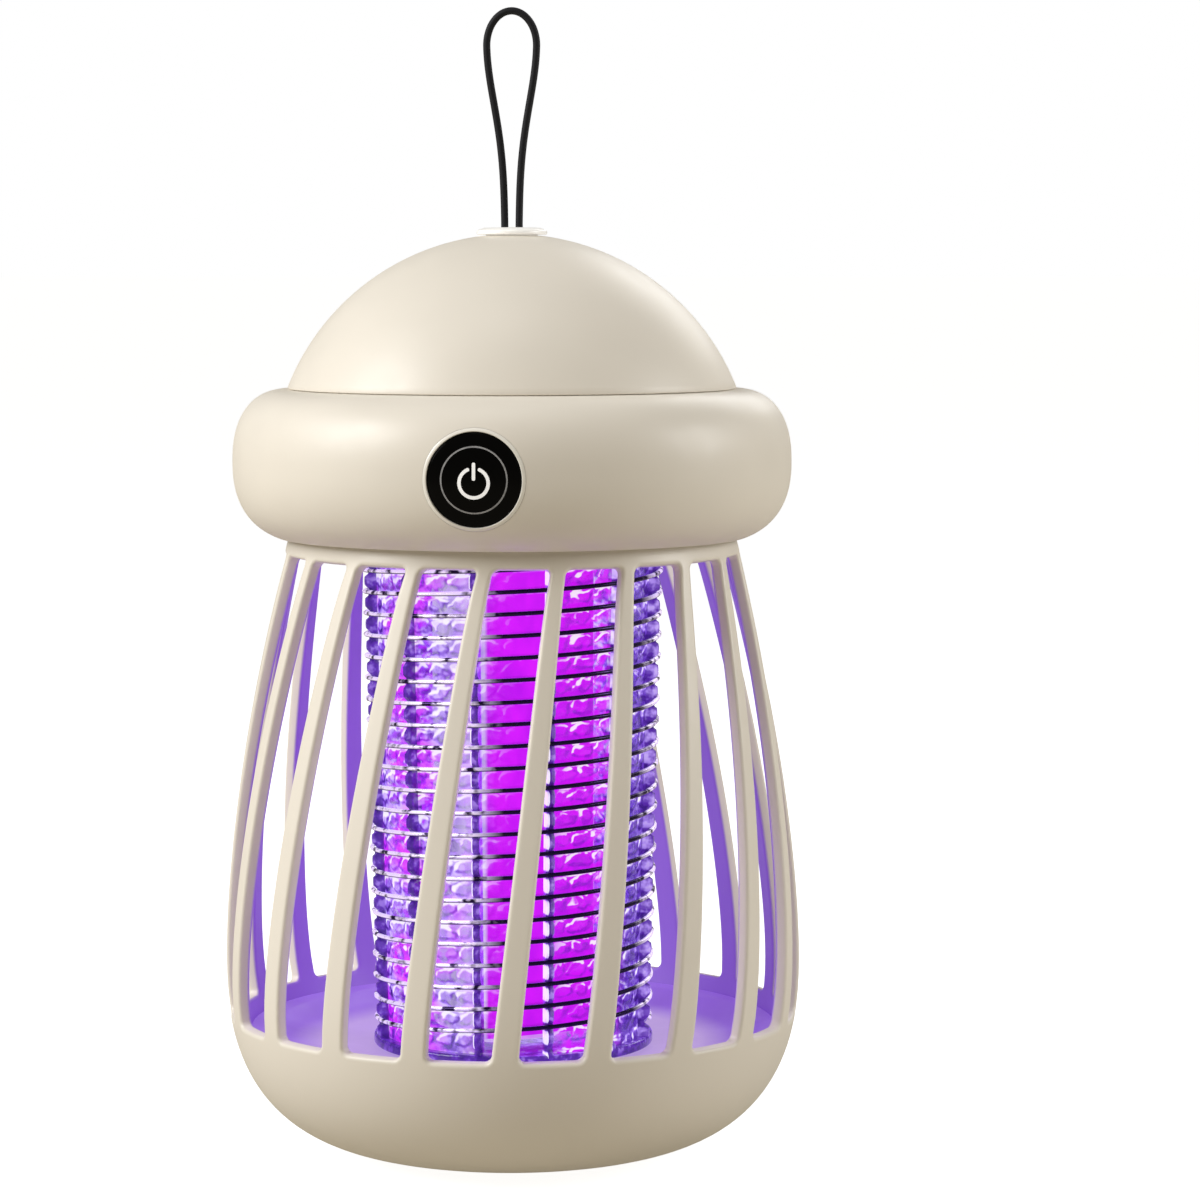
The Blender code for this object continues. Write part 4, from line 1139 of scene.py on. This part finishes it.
def true_normals(obj, normal_at):
    """Gives the faces of a surface of revolution its exact normals, so that holes don't dent the shading."""
    mesh = obj.data
    normals = []
    for polygon in mesh.polygons:
        for index in polygon.vertices:
            exact = normal_at(mesh.vertices[index].co)
            fits = exact is not None and exact.dot(polygon.normal) > 0.9
            normals.append(exact if fits else polygon.normal.copy())
    mesh.normals_split_custom_set(normals)


def collar_normal(point):
    r = hypot(point.x, point.y)
    if r < COLLAR_LIP_R - 0.1 * MM or abs(r - collar_radius(point.z)) > 0.1 * MM:
        return None
    step = 0.02 * MM
    slope = (collar_radius(point.z + step) - collar_radius(point.z - step)) / (2 * step)
    return Vector((point.x / r, point.y / r, -slope)).normalized()


def make_collar():
    bm = revolved(collar_outline(), 240)
    collar = finish_mesh("collar", bm, "cream", "head", ["collar_shell"], 50)
    holes = ((BUTTON_HOLE_R, 0.0), (JACK_HOLE_R, pi), (LENS_R + 0.1 * MM, pi - LENS_TILT))
    carve(collar, [plug(r, 45 * MM, 60 * MM, control_place(angle), 96) for r, angle in holes])
    true_normals(collar, collar_normal)


def make_dome():
    """The dome with the step that drops into the collar, and its hollow."""
    end = acos((DOME_RIM_Z + 0.5 * MM - DOME_Z) / DOME_R)
    start = asin(DOME_HOLE_R / DOME_R)
    turns = [start + (end - start) * i / DOME_STEPS for i in range(DOME_STEPS + 1)]
    arc = [(DOME_R * sin(a), DOME_Z + DOME_R * cos(a)) for a in turns]
    rim_r, step_z = arc[-1][0], DOME_RIM_Z - DOME_STEP
    rim = [(rim_r - 0.05 * MM, DOME_RIM_Z + 0.15 * MM), (rim_r - 0.4 * MM, DOME_RIM_Z)]
    inner = [(DOME_STEP_R, DOME_RIM_Z), (DOME_STEP_R, step_z), (DOME_STEP_IN, step_z)]
    hollow = [(r * HOLLOW_SHARE, DOME_Z + (z - DOME_Z) * HOLLOW_SHARE) for r, z in reversed(arc[::4])]
    bm = revolved(arc + rim + inner + hollow)
    finish_mesh("dome", bm, "cream", "head", ["dome_shell"], 50)


def make_cap():
    """A low button with a plug below it and two holes for the cord."""
    low, high = CAP_LOW.z, CAP_HIGH.z
    rim, seat = high - 1.3 * MM, high - 1.4 * MM
    corners = [(0.0, high), (CAP_R - 1.5 * MM, high - 0.1 * MM), (CAP_R, high - 0.6 * MM), (CAP_R, rim)]
    corners += [(CAP_R - 0.3 * MM, seat), (CAP_PLUG_R, seat), (CAP_PLUG_R, low), (0.0, low)]
    outline = rounded(corners, [r * MM for r in (0, 1.0, 0.5, 0.15, 0, 0, 0.2, 0)], 5)
    cap = finish_mesh("cap", revolved(outline, 96, closed=False), "pearl", "head", ["hang_cap"])
    sides = [Matrix.Translation((side * CORD_HALF, 0.0, 0.0)) for side in (-1, 1)]
    carve(cap, [plug(CORD_R + 0.25 * MM, low - MM, high + MM, side, 32) for side in sides])
    cap.data.set_sharp_from_angle(angle=radians(35))


# --- cord loop


def cord_half_width(z):
    share = min(1.0, max(0.0, (z - CORD_PIVOT_Z) / (CORD_WIDE_Z - CORD_PIVOT_Z)))
    opening = (1 - cos(pi * share**1.5)) / 2
    widening = CORD_SPREAD * share + (1 - CORD_SPREAD) * opening
    return CORD_HALF + (CORD_WIDE - CORD_HALF) * widening


def cord_path():
    """From one end inside the cap, round the loop, to the other end."""
    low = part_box("cord_end_left")[0].z
    heights = [low + (CORD_WIDE_Z - low) * i / CORD_LEG_STEPS for i in range(CORD_LEG_STEPS + 1)]
    left = [Vector((-cord_half_width(z), 0, z)) for z in heights]
    arc = []
    for i in range(1, CORD_ARCH_STEPS):
        a = pi * i / CORD_ARCH_STEPS
        rise = CORD_ARCH * CORD_WIDE * sin(a)
        arc.append(Vector((-CORD_WIDE * cos(a), 0, CORD_WIDE_Z + rise)))
    right = [Vector((cord_half_width(z), 0, z)) for z in reversed(heights)]
    return left + arc + right


def add_tube(bm, path, radius, sides, up):
    """A closed tube along a path, with UVs along it and round it."""
    uv = bm.loops.layers.uv.verify()
    rings, lengths = [], [0.0]
    last = len(path) - 1
    for i, point in enumerate(path):
        ahead = (path[min(i + 1, last)] - path[max(i - 1, 0)]).normalized()
        side = ahead.cross(up).normalized()
        over = side.cross(ahead)
        around = [side * cos(a) + over * sin(a) for a in even_angles(sides)]
        rings.append(ring_of(bm, (point + way * radius for way in around)))
        if i:
            lengths.append(lengths[-1] + (point - path[i - 1]).length)
    for i in range(last):
        for j in range(sides):
            k = (j + 1) % sides
            face = bm.faces.new((rings[i][j], rings[i][k], rings[i + 1][k], rings[i + 1][j]))
            corners = ((i, j), (i, j + 1), (i + 1, j + 1), (i + 1, j))
            for loop, (row, turn) in zip(face.loops, corners):
                loop[uv].uv = (lengths[row], turn / sides)
    bm.faces.new(rings[0][::-1])
    bm.faces.new(rings[-1])


def make_cord():
    bm = bmesh.new()
    add_tube(bm, cord_path(), CORD_R, 20, Vector((0, 1, 0)))
    cord = finish_mesh("cord", bm, "cord", "head")
    cord.parent = None
    del cord["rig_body"]
    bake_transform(cord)
    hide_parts("hang_cord", "cord_end_left", "cord_end_right")


# --- button and its printing


def on_collar(x, z, out):
    """The point of the collar's front over (x, z), moved out from the surface."""
    y = sqrt(max(0.0, collar_radius(z) ** 2 - x * x))
    return Vector((x, -(y + out), z))


def conformal(name, outline, paint, body, nodes=(), closed=True):
    """A disc or ring that follows the collar: outline is (radius, out from the surface)."""
    bm = bmesh.new()
    turns = even_angles(120)
    rings = []
    for r, out in outline:
        if r < ON_AXIS:
            rings.append(ring_of(bm, [on_collar(0.0, CONTROL_Z, out)]) * len(turns))
        else:
            places = [(r * cos(a), CONTROL_Z + r * sin(a)) for a in turns]
            rings.append(ring_of(bm, (on_collar(x, z, out) for x, z in places)))
    skin(bm, rings, closed)
    return finish_mesh(name, bm, paint, body, nodes)


def make_button():
    """The button's face and skirt, the rim round it and what is printed on it."""
    face, edge = -BUTTON_SINK, 0.35 * MM
    outline = [((BUTTON_R - edge) * i / 12, face) for i in range(12)]
    for i in range(6):
        a = pi / 2 * i / 5
        outline.append((BUTTON_R - edge + edge * sin(a), face - edge + edge * cos(a)))
    outline += [(BUTTON_R, face - BUTTON_DEEP), (0.0, face - BUTTON_DEEP)]
    conformal("button", outline, "button", "button", ["power_button"], closed=False)
    rim_in = BUTTON_R + 0.06 * MM
    lip = [(rim_in, -2.4 * MM), (rim_in, -0.08 * MM), (rim_in + 0.12 * MM, 0.08 * MM)]
    lip += [(RIM_R - 0.2 * MM, 0.1 * MM), (RIM_R, -0.02 * MM)]
    lip += [(RIM_R, -RIM_DEEP), (RIM_R - 0.35 * MM, -RIM_DEEP)]
    conformal("button_rim", lip, "rim", "head", ["button_bezel"])
    out = face + 0.03 * MM
    low, high = RING_R - RING_WIDTH / 2, RING_R + RING_WIDTH / 2
    ring = [(low, out - PRINT_THICK), (low, out), (high, out), (high, out - PRINT_THICK)]
    conformal("button_ring", ring, "print_grey", "button")
    make_icon(out)


def stroke(bm, path, width, out):
    """A thin printed line with round ends along (x, z) points, following the button's face."""
    half, steps, last = width / 2, 5, len(path) - 1
    rows = []
    for i, point in enumerate(path):
        ahead = (path[min(i + 1, last)] - path[max(i - 1, 0)]).normalized()
        side = Vector((-ahead.y, ahead.x))
        rows.append((point, side, half))
        if i in (0, last):
            way = -ahead if i == 0 else ahead
            turns = [pi / 2 * k / steps for k in range(1, steps)]
            cap = [(point + way * half * sin(a), side, half * cos(a)) for a in turns]
            rows = cap[::-1] + rows if i == 0 else rows + cap
    rings = []
    for point, side, reach in rows:
        across = [point + side * reach * (k / 2 - 1) for k in range(5)]
        ring = [on_collar(p.x, p.y, out) for p in across]
        ring += [on_collar(p.x, p.y, out - PRINT_THICK) for p in reversed(across)]
        rings.append(ring_of(bm, ring))
    skin(bm, rings, capped=True)


def make_icon(out):
    """A plain power symbol: a broken ring and a bar."""
    centre = Vector((0.0, CONTROL_Z - ICON_DROP))
    sweep = tau - 2 * ICON_GAP
    turns = [pi / 2 + ICON_GAP + sweep * i / 48 for i in range(49)]
    ring = [centre + Vector((cos(a), sin(a))) * ICON_R for a in turns]
    low, top = ICON_BAR
    bar = [centre + Vector((0.0, low + (top - low) * i / 6)) for i in range(7)]
    for name, path, height in (("power_ring", ring, out), ("power_bar", bar, out + 0.003 * MM)):
        bm = bmesh.new()
        stroke(bm, path, ICON_STROKE, height)
        finish_mesh(name, bm, "print_white", "button")


def make_socket():
    """The charging socket's nose and pin, and the charge light's crowned lens beside it."""
    place, tip = control_place(pi), JACK_FACE - 0.7 * MM
    corners = [(SOCKET_R, SOCKET_BACK), (SOCKET_R, JACK_FACE), (SOCKET_BORE_R, JACK_FACE)]
    corners += [(SOCKET_BORE_R, SOCKET_FLOOR), (0.0, SOCKET_FLOOR), (0.0, SOCKET_BACK)]
    nose = rounded(corners, [r * MM for r in (0, 0.3, 0.25, 0, 0, 0)])
    bm = revolved(nose, 72, closed=False, matrix=place)
    finish_mesh("socket", bm, "black", "head", ["dc_jack"])
    foot = SOCKET_FLOOR + 0.3 * MM
    pin = [(0.0, foot)] + rounded([(PIN_R, foot), (PIN_R, tip), (0.0, tip)], [0, 0.4 * MM, 0])
    bm = revolved(pin, 32, closed=False, matrix=place)
    finish_mesh("socket_pin", bm, "brass", "head", ["jack_pin"])
    face, back = COLLAR_R + 0.1 * MM, 47.5 * MM
    crown = [(LENS_R * sin(a), face - 0.5 * MM * (1 - cos(a))) for a in (0.0, 0.4, 0.8, 1.2, 1.57)]
    light = crown + [(LENS_R, back), (0.0, back)]
    bm = revolved(light, 48, closed=False, matrix=control_place(pi - LENS_TILT))
    finish_mesh("charge_light", bm, "lens", "head", ["charge_lens"])


# --- grid and lamp


def wire_radius(z):
    share = (z - WIRE_BOTTOM_Z) / (WIRE_TOP_Z - WIRE_BOTTOM_Z)
    return WIRE_BOTTOM_R + (WIRE_TOP_R - WIRE_BOTTOM_R) * share


def make_wire(name, node, phase):
    turns = (WIRE_TOP_Z - WIRE_BOTTOM_Z) / WIRE_PITCH
    count = round(turns * WIRE_STEPS)
    path = []
    for i in range(count + 1):
        share = i / count
        z = WIRE_BOTTOM_Z + (WIRE_TOP_Z - WIRE_BOTTOM_Z) * share
        angle = phase + pi / 2 + tau * turns * share
        path.append(from_front(wire_radius(z), angle, z))
    bm = bmesh.new()
    add_tube(bm, path, WIRE_R, 10, Vector((0, 0, 1)))
    finish_mesh(name, bm, "wire", "head", [node])


def make_rib(index):
    """An upright comb: its outer edge has a notch for every wire that crosses it."""
    angle = RIB_PHASE + tau * index / RIB_COUNT
    half, spacing = RIB_WIDTH / 2, WIRE_PITCH / 2
    low, high = FRAME_LOW.z + 1.4 * MM, FRAME_HIGH.z - 2.6 * MM
    turn = (angle - pi / 2) / tau * WIRE_PITCH
    out = from_front(1.0, angle, 0.0)
    side = Vector((-out.y, out.x, 0.0))
    bm = bmesh.new()
    rings = []
    steps = round((high - low) / (spacing / 8))
    for i in range(steps + 1):
        z = low + (high - low) * i / steps
        notch = cos(tau * (z - WIRE_BOTTOM_Z - turn) / spacing)
        reach = wire_radius(z) + TOOTH_DEPTH * (0.45 - 0.75 * max(0.0, notch) ** 0.6 - 0.1 * notch)
        inner, shoulder = wire_radius(z) - RIB_DEPTH, reach - 0.5 * MM
        section = ((reach, -0.55), (reach, 0.55), (shoulder, 1), (inner, 1), (inner, -1), (shoulder, -1))
        rings.append(ring_of(bm, (out * r + side * half * s + Vector((0, 0, z)) for r, s in section)))
    skin(bm, rings, capped=True)
    finish_mesh(f"grid_rib_{index + 1}", bm, "clear", "head", sharp=30)


def make_wall():
    """The tapered wall between the ribs; every cell between two ribs and two wires bulges a little."""
    bm = bmesh.new()
    angles, spacing = even_angles(240), WIRE_PITCH / 2
    low, high = FRAME_LOW.z + 1.5 * MM, FRAME_HIGH.z - 2.8 * MM
    rows = round((high - low) / (spacing / 6))
    rings = []
    for i in range(rows + 1):
        z = low + (high - low) * i / rows
        ring = []
        for angle in angles:
            up = (z - WIRE_BOTTOM_Z) / spacing - (angle - pi / 2) / pi
            over = (angle - RIB_PHASE) / (tau / RIB_COUNT)
            bulge = (sin(pi * up) * sin(pi * over)) ** 2
            ring.append(from_front(wire_radius(z) - WALL_INSET + LENS_BULGE * bulge, angle, z))
        rings.append(ring_of(bm, ring))
    for z in (high, low):
        radius = wire_radius(z) - WALL_INSET - WALL_THICK
        rings.append(ring_of(bm, (from_front(radius, angle, z) for angle in angles)))
    skin(bm, rings, closed=True)
    finish_mesh("grid_wall", bm, "wall", "head", sharp=50)


def make_grid():
    make_wall()
    low, high = FRAME_LOW.z, FRAME_HIGH.z
    flange = washer(FLANGE_IN, FRAME_HIGH.x, high - 3.2 * MM, high, 0.4, 0.4, 0.4, 0.4)
    finish_mesh("grid_flange", revolved(flange, 120), "clear", "head", ["grid_frame"])
    foot = washer(FOOT_IN, FOOT_OUT, low, low + 1.9 * MM, 0.4, 0.7, 0.3, 0.3)
    finish_mesh("grid_foot", revolved(foot, 120), "clear", "head")
    for i in range(RIB_COUNT):
        make_rib(i)
    make_wire("wire_live", "grid_wire_live", 0.0)
    make_wire("wire_return", "grid_wire_return", pi)


def make_lamp():
    """A square column with rounded corners."""
    turn = Matrix.Rotation(LAMP_FACE_ANGLE, 2)
    outline = []
    for corner, middle in enumerate(((1, 1), (-1, 1), (-1, -1), (1, -1))):
        for i in range(LAMP_CORNER_STEPS + 1):
            a = pi / 2 * (corner + i / LAMP_CORNER_STEPS)
            arc = Vector((cos(a), sin(a))) * LAMP_CORNER
            outline.append(turn @ (Vector(middle) * (LAMP_HALF - LAMP_CORNER) + arc))
    edge = 0.8 * MM
    low, tall = LAMP_LOW.z + edge, LAMP_HIGH.z - LAMP_LOW.z - 2 * edge
    inset = 1 - edge / LAMP_HALF
    heights = [(low + tall * i / LAMP_ROWS, 1.0) for i in range(LAMP_ROWS + 1)]
    heights = [(LAMP_LOW.z, inset)] + heights + [(LAMP_HIGH.z, inset)]
    bm = bmesh.new()
    skin(bm, [ring_of(bm, ((*(p * scale), z) for p in outline)) for z, scale in heights], capped=True)
    finish_mesh("lamp", bm, "lamp", "head", ["lamp_column"])


# --- CAD nodes that stay


NODE_PAINTS = {
    "deck": "head_deck",
    "screw": "cord_clip head_screw_1 head_screw_2 head_screw_3 grid_screw_1 grid_screw_2 grid_screw_3"
    " board_screw_1 board_screw_2 board_screw_3",
    "green": "main_board switch_board",
    "white_board": "led_panel_1 led_panel_2 led_panel_3 led_panel_4 switch_plunger",
    "sleeve": "battery_cell",
    "black": "battery_cradle switch_body",
    "epoxy": "hv_module",
    "copper": "hv_capacitor boost_transformer",
    "red_wire": "battery_lead_plus jack_lead hv_lead_live",
    "black_wire": "battery_lead_minus button_lead lamp_lead hv_lead_return",
}


def paint_nodes():
    """Better materials for the CAD nodes that keep their own shape."""
    for paint, names in NODE_PAINTS.items():
        for name in names.split():
            materials = frame["nodes"][name].data.materials
            materials.clear()
            materials.append(PAINTS[paint].material)


# --- light and camera


def floor_material():
    """Pale floor: the camera sees it nearly white, and the object gets a dimmer bounce from it."""
    paint = Paint("floor", FLOOR_BOUNCE, 0.8)
    seen = paint.node("ShaderNodeLightPath").outputs["Is Camera Ray"]
    bounce = paint.mix(paint.noise(3.0), shade(FLOOR_BOUNCE, 0.98), shade(FLOOR_BOUNCE, 1.02))
    glow = paint.mix(seen, FLOOR_GLOW, (FLOOR_LIFT, FLOOR_LIFT, FLOOR_LIFT))
    paint.base(paint.mix(seen, bounce, FLOOR_SEEN))
    paint.put("Specular IOR Level", 0.1)
    paint.glow(glow, 1.0)
    from_above = paint.front_side()
    paint.link(from_above, paint.shader.inputs["Alpha"])
    return paint.material


def make_stage():
    bm = bmesh.new()
    bmesh.ops.create_grid(bm, x_segments=1, y_segments=1, size=FLOOR_HALF)
    floor = mesh_object("floor", bm)
    floor.data.materials.append(floor_material())
    floor.location.z = -0.1 * MM
    world = bpy.data.worlds.new("studio")
    bpy.context.scene.world = world
    world.use_nodes = True
    nodes, links = world.node_tree.nodes, world.node_tree.links
    tint = nodes.new("ShaderNodeMix")
    tint.data_type = "RGBA"
    tint.inputs["A"].default_value = (*(WORLD_LIGHT * c for c in WORLD_TINT), 1.0)
    tint.inputs["B"].default_value = (BACKDROP, BACKDROP, BACKDROP, 1.0)
    links.new(nodes.new("ShaderNodeLightPath").outputs["Is Camera Ray"], tint.inputs["Factor"])
    links.new(tint.outputs["Result"], nodes["Background"].inputs["Color"])
    bpy.context.scene.view_settings.view_transform = "Standard"


def place_and_aim(obj, place, target):
    bpy.context.scene.collection.objects.link(obj)
    obj.location = place
    obj.rotation_mode = "QUATERNION"
    obj.rotation_quaternion = (Vector(target) - Vector(place)).to_track_quat("-Z", "Y")


def area_light(name, place, target, size, power, colour=(1.0, 1.0, 1.0)):
    data = bpy.data.lights.new(name, "AREA")
    data.shape = "DISK"
    data.size = size
    data.energy = power
    data.color = colour
    light = bpy.data.objects.new(name, data)
    place_and_aim(light, place, target)
    light.visible_camera = False
    return light


def make_lights():
    """Four soft studio lights, and one in front of each face of the lamp."""
    middle = (0.0, 0.0, 0.11)
    area_light("key", (-0.86, -0.42, 0.66), middle, 0.7, KEY_POWER)
    area_light("fill", (0.95, 0.02, 0.46), middle, 0.5, FILL_POWER)
    area_light("top", (-0.1, -0.25, 1.2), middle, 0.5, TOP_POWER)
    area_light("back", (0.3, 0.8, 0.6), middle, 0.5, BACK_POWER)
    height = (LAMP_LOW.z + LAMP_HIGH.z) / 2
    for i in range(4):
        angle = LAMP_FACE_ANGLE + tau * i / 4
        place = from_front(LAMP_HALF + 1.0 * MM, angle, height)
        target = from_front(LAMP_HALF + 0.1, angle, height)
        light = area_light(f"lamp_side_{i}", place, target, 20 * MM, LAMP_POWER, LAMP_COLOUR)
        light.data.shape = "RECTANGLE"
        light.data.size_y = 86 * MM
        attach(light, "head")


def make_camera():
    data = bpy.data.cameras.new("camera")
    data.lens = CAMERA_LENS
    data.sensor_width = 36.0
    camera = bpy.data.objects.new("camera", data)
    aim = from_front(AIM_RIGHT, CAMERA_AZIMUTH + pi / 2, AIM_HEIGHT)
    place_and_aim(camera, from_front(CAMERA_DISTANCE, CAMERA_AZIMUTH, CAMERA_HEIGHT), aim)
    bpy.context.scene.camera = camera


PAINTS = make_paints()
make_cage()
make_bowl_fittings()
make_collar()
make_dome()
make_cap()
make_cord()
make_button()
make_socket()
make_grid()
make_lamp()
paint_nodes()
make_stage()
make_lights()
make_camera()
